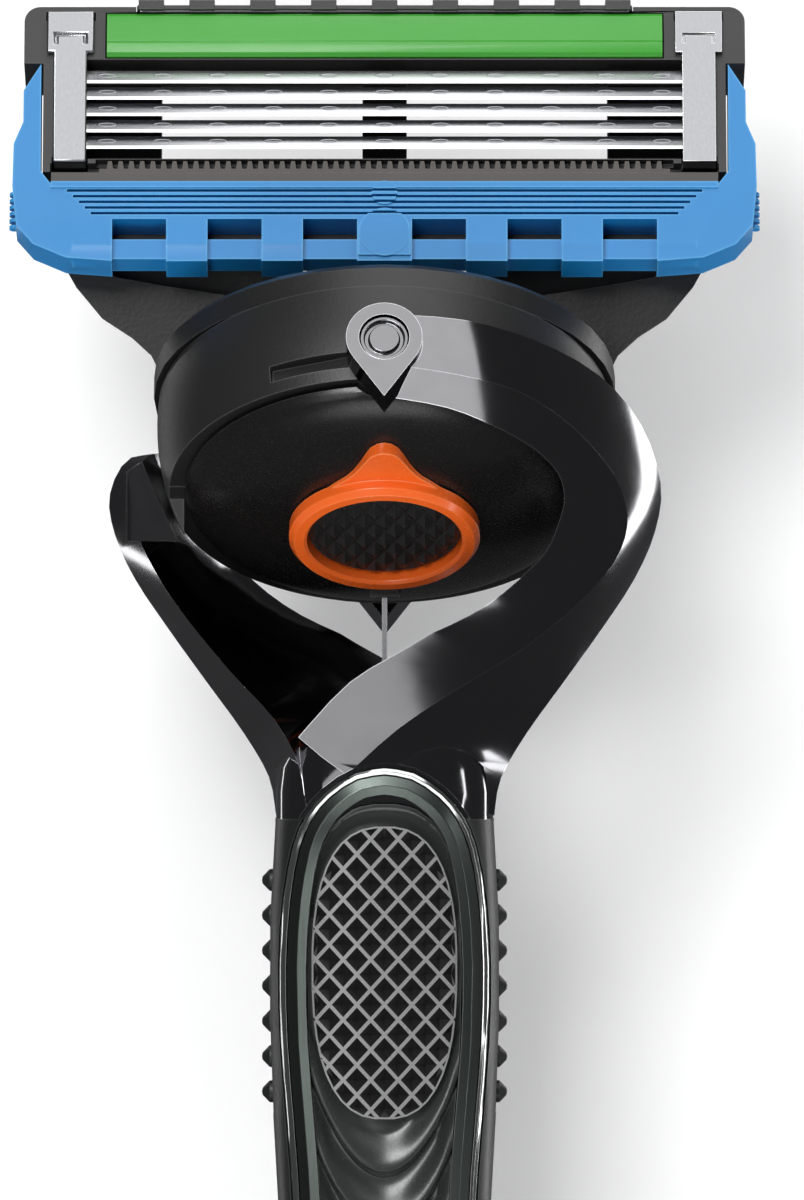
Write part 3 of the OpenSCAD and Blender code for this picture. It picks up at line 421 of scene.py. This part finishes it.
def finish_piece(mesh_builder, name, body, finish, sharp=35.0):
    """Turns a bmesh into a smooth shaded piece, riding on a body if one is given; sharp edges stay sharp."""
    for face in mesh_builder.faces:
        face.smooth = True
    for edge in mesh_builder.edges:
        edge.smooth = len(edge.link_faces) == 2 and edge.calc_face_angle(0.0) < math.radians(sharp)
    mesh = bpy.data.meshes.new(name)
    mesh_builder.to_mesh(mesh)
    mesh_builder.free()
    piece = bpy.data.objects.new(name, mesh)
    bpy.context.scene.collection.objects.link(piece)
    dress(piece, finish)
    if body:
        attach(piece, body)
    return piece


def round_edges(piece, width):
    """A live bevel on every corner sharper than the limit."""
    bevel = piece.modifiers.new("rounded_corners", "BEVEL")
    bevel.width, bevel.segments, bevel.profile = width, CORNER_STEPS, 0.5
    bevel.limit_method, bevel.angle_limit = "ANGLE", CORNER_ANGLE
    bevel.use_clamp_overlap, bevel.harden_normals = True, False


def joined_copy(node):
    """The node's triangles joined into one surface, flat areas made single faces."""
    shape = bmesh.new()
    shape.from_mesh(frame["nodes"][node].data)
    bmesh.ops.remove_doubles(shape, verts=shape.verts, dist=JOIN_WITHIN)
    bmesh.ops.dissolve_limit(shape, angle_limit=FLAT_ANGLE, verts=shape.verts, edges=shape.edges,
                             use_dissolve_boundaries=False)
    return shape


def softened(node, width, sharp=35.0):
    """A copy of a node, with rounded corners if a width is given, which stands for it."""
    piece = finish_piece(joined_copy(node), node + "_soft", BODY_OF[node], NODE_FINISH[node], sharp)
    if width:
        round_edges(piece, width)
    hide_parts(node)
    return piece


# %% Soften the pieces that catch the light
# corner radius in millimetres
SOFT_CORNERS = {
    "guard_surround": 0.16, "housing": 0.10, "yoke": 0.30, "frame": 0.10, "clip_left": 0.09,
    "clip_right": 0.09, "pod_front_shell": 0.07, "pod_rear_shell": 0.07, "dome": 0.08,
    "button_ring": 0.09, "trimmer_guard": 0.04, "lubricating_strip": 0.05, "end_cap": 0.08,
    "grip_shell": 0.10, "guard_comb": 0.03, "pivot_pin_front": 0.06, "pivot_pin_rear": 0.06,
    "bezel": 0.05, "bezel_rim": 0.05, "spring_clamp": 0.08, "side_strip_left": 0.05,
    "side_strip_right": 0.05,
}
for node_name, corner in SOFT_CORNERS.items():
    softened(node_name, corner * MM)
print("softened:", len(SOFT_CORNERS), "pieces")

# %% [markdown]
# ## Where the front of the grip lies
# The pad and the waves follow the crowned front of the grip. Its section is a soft square, so its depth at
# any place comes from the grip's half width and depth at that height and a power of three. One small
# function gives that depth, and every piece on the front is drawn flat first and then laid on it.

# %% Depth of the grip's front at any place
GRIP_HALF, GRIP_DEEP = 6.8 * MM, 6.0 * MM
# height, share of the half width, share of the depth
GRIP_SHARES = [(12, 0.93, 1.00), (9, 0.94, 1.00), (5, 0.98, 1.01), (0, 1.00, 1.00), (-7, 0.97, 0.97),
               (-14, 0.91, 0.92), (-30, 0.88, 0.84), (-50, 0.84, 0.80), (-70, 0.82, 0.81)]


def blend_rows(rows, height, column):
    """Straight-line value between rows that run from high to low."""
    height = max(rows[-1][0], min(rows[0][0], height))
    for high, low in zip(rows, rows[1:]):
        if low[0] <= height <= high[0]:
            share = (height - low[0]) / (high[0] - low[0])
            return low[column] + (high[column] - low[column]) * share
    return rows[-1][column]


def front_skin(x, z):
    """The y of the grip's front surface, in metres."""
    half = GRIP_HALF * blend_rows(GRIP_SHARES, z / MM, 1)
    deep = GRIP_DEEP * blend_rows(GRIP_SHARES, z / MM, 2)
    return -deep * max(0.0, 1 - min(1.0, abs(x) / half) ** 3) ** (1 / 3)


print("front of the grip, mm:", [round(front_skin(0, z * MM) / MM, 2) for z in (9, 0, -9, -30)])

# %% [markdown]
# ## Thumb pad
# The pad is an egg of soft rubber with a net of thin raised lines and a pit in each diamond. A texture could
# fake the pits, but their walls catch light one by one, so they are modelled. A plain grid is turned by 45
# degrees, its diamonds are cut to the egg by planes that touch the outline, each is inset to leave the line,
# and the inner part is pushed down to a point. The whole net is then laid on the grip.

# %% Thumb pad
PAD_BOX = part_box("thumb_pad")
DIAMOND_WIDE, DIAMOND_TALL, LINE = 1.60 * MM, 1.75 * MM, 0.105 * MM
PIT, LEAST_DIAMOND = 0.50 * MM, 0.02 * MM * MM
# how far the pits' rims lie behind the grip's front, and how thick the pad is
PAD_SET_BACK, PAD_WALL = 0.30 * MM, 0.9 * MM
# the egg's outline: its power, and the height of its widest place, in millimetres
EGG_POWER, EGG_MIDDLE = 2.5, 0.4


def egg_point(turn, box):
    """A point and outward direction on an egg-shaped outline, in x and z."""
    half_x = (box[1].x - box[0].x) / 2
    mid = EGG_MIDDLE * MM
    c, s = math.cos(turn), math.sin(turn)
    half_z = (box[1].z - mid) if s > 0 else (mid - box[0].z)
    x = half_x * math.copysign(abs(c) ** (2 / EGG_POWER), c)
    z = half_z * math.copysign(abs(s) ** (2 / EGG_POWER), s)
    grow = Vector((math.copysign(abs(x / half_x) ** (EGG_POWER - 1), c) / half_x, 0,
                   math.copysign(abs(z / half_z) ** (EGG_POWER - 1), s) / half_z))
    return Vector((x, 0, mid + z)), grow.normalized()


def cut_to_outline(shape, points):
    """Cuts a flat sheet with one plane for each outline point, and throws away what is outside."""
    for place, outward in points:
        parts = shape.verts[:] + shape.edges[:] + shape.faces[:]
        bmesh.ops.bisect_plane(shape, geom=parts, dist=1e-7, plane_co=place, plane_no=outward,
                               clear_outer=True)


def diamond_sheet(half_x, half_z, wide, tall):
    """A flat sheet of diamonds in the x-z plane."""
    count = 2 * int(max(half_x / wide, half_z / tall) + 3)
    shape = bmesh.new()
    bmesh.ops.create_grid(shape, x_segments=count * 2, y_segments=count * 2, size=count / math.sqrt(2))
    bmesh.ops.rotate(shape, verts=shape.verts, matrix=Matrix.Rotation(math.radians(45), 3, "Z"))
    bmesh.ops.rotate(shape, verts=shape.verts, matrix=Matrix.Rotation(math.radians(90), 3, "X"))
    bmesh.ops.scale(shape, verts=shape.verts, vec=(wide, 1, tall))
    return shape


def sink_cells(shape, line, depth, least):
    """Leaves a line round every cell and pushes the middle of each inner face along +y to a point."""
    cells = [f for f in shape.faces if f.calc_area() > least]
    inset = bmesh.ops.inset_individual(shape, faces=cells, thickness=line, depth=0.0, use_even_offset=True)
    for face in inset["faces"]:
        face.material_index = 1
    areas = {f: f.calc_area() for f in cells}
    full = max(areas.values())
    for cell in cells:
        share = min(1.0, math.sqrt(areas[cell] / full))
        poked = bmesh.ops.poke(shape, faces=[cell], offset=0.0, center_mode="MEAN_WEIGHTED")
        poked["verts"][0].co.y += depth * share


def back_wall(shape, depth):
    """Turns a sheet into a shell: its rim is drawn back along +y and closed."""
    rim = [e for e in shape.edges if len(e.link_faces) == 1]
    drawn = bmesh.ops.extrude_edge_only(shape, edges=rim)["geom"]
    drawn_verts = [g for g in drawn if isinstance(g, bmesh.types.BMVert)]
    bmesh.ops.translate(shape, verts=drawn_verts, vec=(0, depth, 0))
    loop = [e for e in shape.edges if len(e.link_faces) == 1]
    bmesh.ops.contextual_create(shape, geom=loop)
    bmesh.ops.recalc_face_normals(shape, faces=shape.faces)


pad = diamond_sheet(4.3 * MM, 8.6 * MM, DIAMOND_WIDE, DIAMOND_TALL)
outline = [egg_point(math.radians(a), PAD_BOX) for a in range(0, 360, 9)]
cut_to_outline(pad, outline)
sink_cells(pad, LINE, PIT, LEAST_DIAMOND)
for vert in pad.verts:
    vert.co.y += front_skin(vert.co.x, vert.co.z) + PAD_SET_BACK
back_wall(pad, PAD_WALL)
pad.faces.index_update()
line_faces = [face.index for face in pad.faces if face.material_index == 1]
pad_piece = finish_piece(pad, "thumb_pad_net", "handle", "pit_rubber", sharp=20)
# the raised lines take the light grey finish, a painted sheen
pad_piece.data.materials.append(FINISH["painted_sheen_line_rubber"])
for index in line_faces:
    pad_piece.data.polygons[index].material_index = 1
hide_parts("thumb_pad")
print("thumb pad:", len(pad_piece.data.polygons), "faces")

# %% [markdown]
# ## Wave panel
# Below the pad the rubber falls away in crescents, each one hanging like a smile under the last, and around
# the pad it is a shallow bowl. A sheet with enough rows is the simplest start: its outline narrows down the
# grip, and each vertex is sunk by a smooth wave whose crest line curves up towards the sides.

# %% Wave panel with its bowl
# height, half width, in millimetres
TRAY = [(9.9, 0.6), (9.7, 1.7), (8.7, 3.1), (7.3, 3.9), (4.4, 4.35), (0.5, 4.5), (-4, 4.4), (-9, 4.0),
        (-15, 3.6), (-26, 3.3), (-40, 2.8), (-54, 2.0), (-61.3, 1.0)]
TRAY_COLUMNS, TRAY_ROWS, TRAY_TOP, TRAY_WALL = 32, 470, 9.9, 0.55 * MM
WAVE_STEP, WAVE_RISE, WAVE_DEEP = 3.3, 0.30, 0.80
# the first crest, its fade in (in waves), the crest's depth, and the shares of a wave that fall and rise
FIRST_CREST, FADE_FROM, FADE_OVER = -8.6, -0.05, 0.25
CREST_DEPTH, FALL_SHARE, RISE_SHARE = 0.34, 0.84, 0.16
# waves get shallow this close to the side, down to this share, and hang more from here down
SIDE_BAND, SIDE_SHARE, HANG_FROM, HANG_OVER = 0.7, 0.15, 4.0, 13.0
# the bowl's depth at the pad, how much of it is gone at its rim, and how far out that is
BOWL_DEPTH, BOWL_RISE, BOWL_BAND = 1.05, 0.62, 0.13
EGG_HALF_WIDE, EGG_TOP, EGG_DROP = 4.23, 8.6, 8.8


def within(value):
    """The value, kept between 0 and 1."""
    return max(0.0, min(1.0, value))


def egg_reach(x, z):
    """1 on the pad's outline, less inside it and more outside it; x and z in millimetres."""
    half_z = EGG_TOP - EGG_MIDDLE if z > EGG_MIDDLE else EGG_DROP
    across, along = abs(x) / EGG_HALF_WIDE, abs(z - EGG_MIDDLE) / half_z
    return (across ** EGG_POWER + along ** EGG_POWER) ** (1 / EGG_POWER)


def tray_sink(x, z, half, row):
    """How far the tray lies below the grip's front, in millimetres, at x and z in millimetres."""
    bowl = BOWL_DEPTH - BOWL_RISE * within((egg_reach(x, z) - 1.0) / BOWL_BAND) ** 1.5
    along = (FIRST_CREST - row) / WAVE_STEP
    fade = within((along - FADE_FROM) / FADE_OVER)
    edge = within((half - abs(x)) / SIDE_BAND)
    turn = along % 1.0
    valley = (1 - turn / FALL_SHARE) if turn < FALL_SHARE else (turn - FALL_SHARE) / RISE_SHARE
    valley = valley * valley * (3 - 2 * valley)
    wave = CREST_DEPTH + WAVE_DEEP * valley * (SIDE_SHARE + (1 - SIDE_SHARE) * edge)
    return bowl * (1 - fade) + wave * fade


tray = bmesh.new()
bmesh.ops.create_grid(tray, x_segments=TRAY_COLUMNS, y_segments=TRAY_ROWS, size=1.0)
low_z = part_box("wave_panel")[0].z / MM + 0.1
for vert in tray.verts:
    row = low_z + (TRAY_TOP - low_z) * (vert.co.y + 1) / 2
    hang = within((HANG_FROM - row) / HANG_OVER) * WAVE_RISE
    x, z = vert.co.x * blend_rows(TRAY, row, 1), row
    for _ in range(6):  # width and height depend on each other, so they settle in a few rounds
        z = min(TRAY_TOP, row + hang * x * x)
        x = vert.co.x * blend_rows(TRAY, z, 1)
    y = front_skin(x * MM, z * MM) / MM + tray_sink(x, z, blend_rows(TRAY, z, 1), row)
    vert.co = (x * MM, y * MM, z * MM)
back_wall(tray, TRAY_WALL)
tray_piece = finish_piece(tray, "wave_panel_crescents", "handle", "wave_rubber", sharp=40)
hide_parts("wave_panel")
print("wave panel:", len(tray_piece.data.polygons), "faces")

# %% [markdown]
# ## Release button
# The button's face leans back with the dome, and is covered with small raised pyramids in staggered rows. It
# is the thumb pad the other way up: the same sheet of diamonds, cut to a circle, with each cell raised.

# %% Button face
BUTTON_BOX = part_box("button_pad")
DOCK_LEAN = math.radians(31)
BALL = Vector((0, 0, 33.0)) * MM
DOCK_OUT = Vector((0, -math.sin(DOCK_LEAN), -math.cos(DOCK_LEAN)))
PAD_RADIUS = BUTTON_BOX[1].x - 0.02 * MM
FACE_AT, PYRAMID, BUTTON_WALL = 8.85 * MM, 0.34 * MM, 1.4 * MM
PYRAMID_WIDE, PYRAMID_TALL, GROOVE = 1.17 * MM, 2.10 * MM, 0.05 * MM
LEAST_PYRAMID = 0.03 * MM * MM

button = diamond_sheet(PAD_RADIUS, PAD_RADIUS, PYRAMID_WIDE, PYRAMID_TALL)
spokes = [Vector((math.cos(a), 0, math.sin(a))) for a in (math.radians(k * 10) for k in range(36))]
cut_to_outline(button, [(spoke * PAD_RADIUS, spoke) for spoke in spokes])
sink_cells(button, GROOVE, -PYRAMID, LEAST_PYRAMID)
back_wall(button, BUTTON_WALL)
# from a sheet that faces -y to one that faces out of the dome
out_of_dome = Matrix.Rotation(math.radians(90) - DOCK_LEAN, 4, "X")
bmesh.ops.transform(button, verts=button.verts, matrix=out_of_dome)
bmesh.ops.translate(button, verts=button.verts, vec=BALL + DOCK_OUT * (FACE_AT - PYRAMID))
button_piece = finish_piece(button, "button_pad_pyramids", "button", "button_rubber", sharp=20)
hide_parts("button_pad")
print("button:", len(button_piece.data.polygons), "faces, low corner",
      [round(v / MM, 1) for v in BUTTON_BOX[0]])

# %% [markdown]
# ## Weld marks of the blades
# Each blade is a strip welded to a bent support by a row of small pulses, and every pulse leaves an oval
# dimple with a raised lip. They are tiny, but they are the only thing on the strips, and the eye finds
# them. One mark is a disc pulled to an oval, inset twice and pressed in, copied along the strip.

# %% Weld marks
FACE_LEAN, BLADE_TILT = math.radians(22), math.radians(24)
UP_BLADE = Vector((0, math.sin(FACE_LEAN + BLADE_TILT), math.cos(FACE_LEAN + BLADE_TILT)))
OFF_BLADE = Vector((0, -math.cos(FACE_LEAN + BLADE_TILT), math.sin(FACE_LEAN + BLADE_TILT)))
MARK_STEP, MARKS_EACH_SIDE = 3.25 * MM, 5
MARK_HALF_WIDE, MARK_HALF_TALL = 0.55 * MM, 0.19 * MM
LIP_WIDE, LIP_HIGH, DIMPLE_WIDE, DIMPLE_DEEP = 0.04 * MM, 0.012 * MM, 0.05 * MM, 0.016 * MM
MARK_FROM_EDGE, MARK_OFF_BLADE = 0.62 * MM, 0.037 * MM


def facing(right, up, out):
    """The turn that takes a drawing in the x-y plane to one that is seen from the way out."""
    return Matrix((right, up, out)).transposed().to_4x4()


for number in BLADE_NUMBERS:
    low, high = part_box(f"blade_{number}")
    edge_line = Vector((0, low.y, low.z))
    marks = bmesh.new()
    for k in range(-MARKS_EACH_SIDE, MARKS_EACH_SIDE + 1):
        one = bmesh.new()
        bmesh.ops.create_circle(one, cap_ends=True, radius=1.0, segments=20)
        bmesh.ops.scale(one, verts=one.verts, vec=(MARK_HALF_WIDE, MARK_HALF_TALL, 1))
        bmesh.ops.inset_individual(one, faces=list(one.faces), thickness=LIP_WIDE, depth=LIP_HIGH)
        inner = max(one.faces, key=lambda f: f.calc_area())
        bmesh.ops.inset_individual(one, faces=[inner], thickness=DIMPLE_WIDE, depth=-DIMPLE_DEEP)
        turn = facing(Vector((1, 0, 0)), UP_BLADE, OFF_BLADE)
        bmesh.ops.transform(one, verts=one.verts, matrix=turn)
        place = edge_line + UP_BLADE * MARK_FROM_EDGE + OFF_BLADE * MARK_OFF_BLADE
        bmesh.ops.translate(one, verts=one.verts, vec=place + Vector((k * MARK_STEP, 0, 0)))
        mesh = bpy.data.meshes.new("one_mark")
        one.to_mesh(mesh)
        one.free()
        marks.from_mesh(mesh)
        bpy.data.meshes.remove(mesh)
    mark_piece = finish_piece(marks, f"weld_marks_{number}", f"blade_{number}", "weld_steel", sharp=30)
print("weld marks:", len(BLADE_NUMBERS) * (2 * MARKS_EACH_SIDE + 1))

# %% [markdown]
# ## Eyes of the ring
# Where the ring ends on the pod it swells into a drop with a bright, bevelled face around the pivot. The
# plated casting is one piece with the ring, but its face is polished much brighter than the rest. It is
# drawn here as a thin drop-shaped plate with a hole: a circle whose lower half is drawn out to a point.

# %% Drop-shaped faces around the pivots
ROLL_LEAN = math.radians(26)
ROLL_AT = Vector((0, 0, 29.55)) * MM
ROLL_OUT = Vector((0, -math.cos(ROLL_LEAN), math.sin(ROLL_LEAN)))
ROLL_UP = Vector((0, math.sin(ROLL_LEAN), math.cos(ROLL_LEAN)))
EYE_REACH, EYE_SET_BACK = 2.6 * MM, 0.04 * MM
DROP_RADIUS, DROP_HOLE, DROP_TIP, DROP_SIDES = 2.02 * MM, 1.46 * MM, 3.50 * MM, 48
# where the circle starts to be drawn out, how much narrower the tip gets, and how its sides curve
NECK, NARROWING, NARROW_CURVE = 0.35, 0.93, 1.4
DROP_THICK, DROP_BEVEL = 0.45 * MM, 0.20 * MM


def eye_distance(out):
    """How far the ring's eye reaches from the roll axis' middle along one way of the axis."""
    reach = 0.0
    for vert in frame["nodes"]["frame"].data.vertices:
        arm = vert.co - ROLL_AT
        along = arm.dot(out)
        if along > 0 and (arm - out * along).length < EYE_REACH:
            reach = max(reach, along)
    return reach - EYE_SET_BACK


def drop_face(name, out):
    """A bevelled drop with a round hole, on the eye that lies this way along the roll axis."""
    shape = bmesh.new()
    outer = bmesh.ops.create_circle(shape, cap_ends=False, radius=DROP_RADIUS, segments=DROP_SIDES)["verts"]
    for vert in outer:
        low = max(0.0, -vert.co.y / DROP_RADIUS)
        if low > NECK:
            pull = (low - NECK) / (1 - NECK)
            vert.co.x *= 1 - NARROWING * pull ** NARROW_CURVE
            vert.co.y = -DROP_RADIUS * NECK - (DROP_TIP - DROP_RADIUS * NECK) * pull
    bmesh.ops.create_circle(shape, cap_ends=False, radius=DROP_HOLE, segments=DROP_SIDES)
    bmesh.ops.bridge_loops(shape, edges=shape.edges[:])
    bmesh.ops.recalc_face_normals(shape, faces=shape.faces)
    if sum(f.normal.z for f in shape.faces) < 0:
        bmesh.ops.reverse_faces(shape, faces=shape.faces)
    rim = [e for e in shape.edges if len(e.link_faces) == 1]
    drawn = bmesh.ops.extrude_edge_only(shape, edges=rim)["geom"]
    drawn_verts = [g for g in drawn if isinstance(g, bmesh.types.BMVert)]
    bmesh.ops.translate(shape, verts=drawn_verts, vec=(0, 0, -DROP_THICK))
    corners = [e for e in shape.edges if len(e.link_faces) == 2 and e.calc_face_angle(0) > math.radians(60)]
    bmesh.ops.bevel(shape, geom=corners, offset=DROP_BEVEL, segments=2, profile=0.5, affect="EDGES",
                    material=-1)
    loops = [e for e in shape.edges if len(e.link_faces) == 1]
    bmesh.ops.bridge_loops(shape, edges=loops)
    bmesh.ops.recalc_face_normals(shape, faces=shape.faces)
    turn = facing(ROLL_UP.cross(out), ROLL_UP, out)
    bmesh.ops.transform(shape, verts=shape.verts, matrix=turn)
    bmesh.ops.translate(shape, verts=shape.verts, vec=ROLL_AT + out * eye_distance(out))
    piece = finish_piece(shape, name, "handle", "polished_eye", sharp=24)
    return piece


for eye_name, way_out in (("eye_face_front", ROLL_OUT), ("eye_face_rear", -ROLL_OUT)):
    eye = drop_face(eye_name, way_out)
    print(eye_name, len(eye.data.polygons), "faces")

# %% [markdown]
# ## Springs that give way
# Three springs change shape when the razor moves. The two coils get shorter by the travel of the piece that
# presses them; here each is copied as a joined piece with its own mesh, and its low and high reach along the
# docking axis is found. The leaf that centres the pod has one end in the pod and the other in the handle; it is
# copied with no body, and its place is baked into its mesh.

# %% Springs
DOCK_UP = -DOCK_OUT


def spring_copy(node):
    """A joined copy of a spring, and its low and high place along the docking axis."""
    piece = softened(node, 0, sharp=40.0)
    reach = [(vert.co - BALL).dot(DOCK_UP) for vert in piece.data.vertices]
    return piece, min(reach), max(reach)


button_coil, low_end, high_end = spring_copy("button_spring")
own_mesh(button_coil)
plunger_coil, low_end, high_end = spring_copy("plunger_spring")
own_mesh(plunger_coil)
leaf = finish_piece(joined_copy("centering_spring"), "centering_leaf", None,
                    NODE_FINISH["centering_spring"], 40.0)
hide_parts("centering_spring")
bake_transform(leaf)

# %% [markdown]
# ## The stage
# The razor stands in front of a plain white sheet and is lit by big soft boxes, as small glossy things
# usually are. Black plated metal shows nothing but its surroundings, so the surroundings are the lighting: a broad
# white box above, smaller ones low and to the left, narrow strips behind, and dark gaps between them that
# draw the bands on the ring. Floor and sheet are left out of the reflections, or every dark band would turn
# pale. The sheet is one sided, so that a view from the back is not blocked.

# %% Floor and sheet
FLOOR_HALF, FLOOR_BELOW = 1.2, 0.4 * MM
SHEET_HALF, SHEET_BEHIND, SHEET_MIDDLE = 0.16, 25.0 * MM, 70.0 * MM
floor_mesh = bmesh.new()
bmesh.ops.create_grid(floor_mesh, x_segments=2, y_segments=2, size=FLOOR_HALF)
bmesh.ops.translate(floor_mesh, verts=floor_mesh.verts, vec=(0, 0, CAD_BOX[0].z - FLOOR_BELOW))
sheet_mesh = bmesh.new()
bmesh.ops.create_grid(sheet_mesh, x_segments=2, y_segments=2, size=SHEET_HALF)
bmesh.ops.rotate(sheet_mesh, verts=sheet_mesh.verts, matrix=Matrix.Rotation(math.radians(90), 3, "X"))
bmesh.ops.translate(sheet_mesh, verts=sheet_mesh.verts, vec=(0, SHEET_BEHIND, SHEET_MIDDLE))


def stage_piece(builder, name, material):
    """A floor or backdrop, outside the object."""
    mesh = bpy.data.meshes.new(name)
    builder.to_mesh(mesh)
    builder.free()
    thing = bpy.data.objects.new(name, mesh)
    bpy.context.scene.collection.objects.link(thing)
    thing.data.materials.append(material)
    return thing


paper, paper_tree, paper_surface = new_surface("pale_paper")
paper_surface.inputs["Base Color"].default_value = (0.86, 0.86, 0.87, 1.0)
paper_surface.inputs["Roughness"].default_value = 0.9
paper_surface.inputs["Specular IOR Level"].default_value = 0.1
floor = stage_piece(floor_mesh, "floor", paper)
sheet_paper, sheet_tree, sheet_surface = new_surface("one_sided_paper")
sheet_surface.inputs["Base Color"].default_value = (1.0, 1.0, 1.0, 1.0)
sheet_surface.inputs["Roughness"].default_value = 1.0
sheet_surface.inputs["Specular IOR Level"].default_value = 0.0
clear = sheet_tree.nodes.new("ShaderNodeBsdfTransparent")
choose = sheet_tree.nodes.new("ShaderNodeMixShader")
side = sheet_tree.nodes.new("ShaderNodeNewGeometry")
sheet_tree.links.new(side.outputs["Backfacing"], choose.inputs[0])
sheet_tree.links.new(sheet_surface.outputs[0], choose.inputs[1])
sheet_tree.links.new(clear.outputs[0], choose.inputs[2])
sheet_out = next(n for n in sheet_tree.nodes if n.type == "OUTPUT_MATERIAL")
sheet_tree.links.new(choose.outputs[0], sheet_out.inputs[0])
sheet = stage_piece(sheet_mesh, "sheet", sheet_paper)
for backdrop in (floor, sheet):
    backdrop.visible_glossy = False
    backdrop.visible_shadow = False
print("stage: sheet normal", [round(v, 2) for v in sheet.data.polygons[0].normal])

# %% Soft boxes


def soft_box(name, place, target, width, height, watts):
    """A white rectangular light aimed at a point, sizes in metres."""
    data = bpy.data.lights.new(name, "AREA")
    data.shape, data.size, data.size_y = "RECTANGLE", width, height
    data.energy = watts
    lamp = bpy.data.objects.new(name, data)
    lamp.location = place
    lamp.rotation_mode = "QUATERNION"
    lamp.rotation_quaternion = (Vector(target) - Vector(place)).to_track_quat("-Z", "Y")
    bpy.context.scene.collection.objects.link(lamp)


# the lights aim at the ball of the pod
HEAD = (0.0, 0.0, 0.03)
soft_box("key_box", (-0.13, -0.46, 0.24), HEAD, 0.20, 0.20, 1.55)
soft_box("top_box", (0.075, -0.195, 0.43), HEAD, 0.42, 0.42, 1.2)
soft_box("blade_box", (0.0, 0.0, 0.125), (0.0, -0.004, 0.05), 0.026, 0.06, 0.008)
soft_box("front_left_box", (-0.26, -0.81, -0.05), HEAD, 0.40, 0.30, 0.60)
soft_box("low_box", (0.0, -0.26, -0.27), HEAD, 0.22, 0.20, 0.30)
soft_box("right_front_strip", (0.42, -0.12, -0.06), HEAD, 0.04, 0.40, 0.30)
soft_box("right_rear_strip", (0.30, 0.30, 0.07), HEAD, 0.05, 0.50, 0.50)
soft_box("left_rear_strip", (-0.30, 0.40, 0.04), HEAD, 0.03, 0.40, 0.15)

world = bpy.data.worlds.new("pale_room")
bpy.context.scene.world = world
world.use_nodes = True
world_tree = world.node_tree
world_tree.nodes.clear()
room = add_node(world_tree, "ShaderNodeBackground", {"Color": (0.07, 0.07, 0.073, 1.0), "Strength": 1.0})
pale = add_node(world_tree, "ShaderNodeBackground", {"Color": (0.95, 0.95, 0.96, 1.0), "Strength": 1.0})
path = add_node(world_tree, "ShaderNodeLightPath")
pick = world_tree.nodes.new("ShaderNodeMixShader")
world_tree.links.new(path.outputs["Is Camera Ray"], pick.inputs[0])
world_tree.links.new(room.outputs[0], pick.inputs[1])
world_tree.links.new(pale.outputs[0], pick.inputs[2])
world_out = world_tree.nodes.new("ShaderNodeOutputWorld")
world_tree.links.new(pick.outputs[0], world_out.inputs[0])
bpy.context.scene.view_settings.view_transform = "Standard"
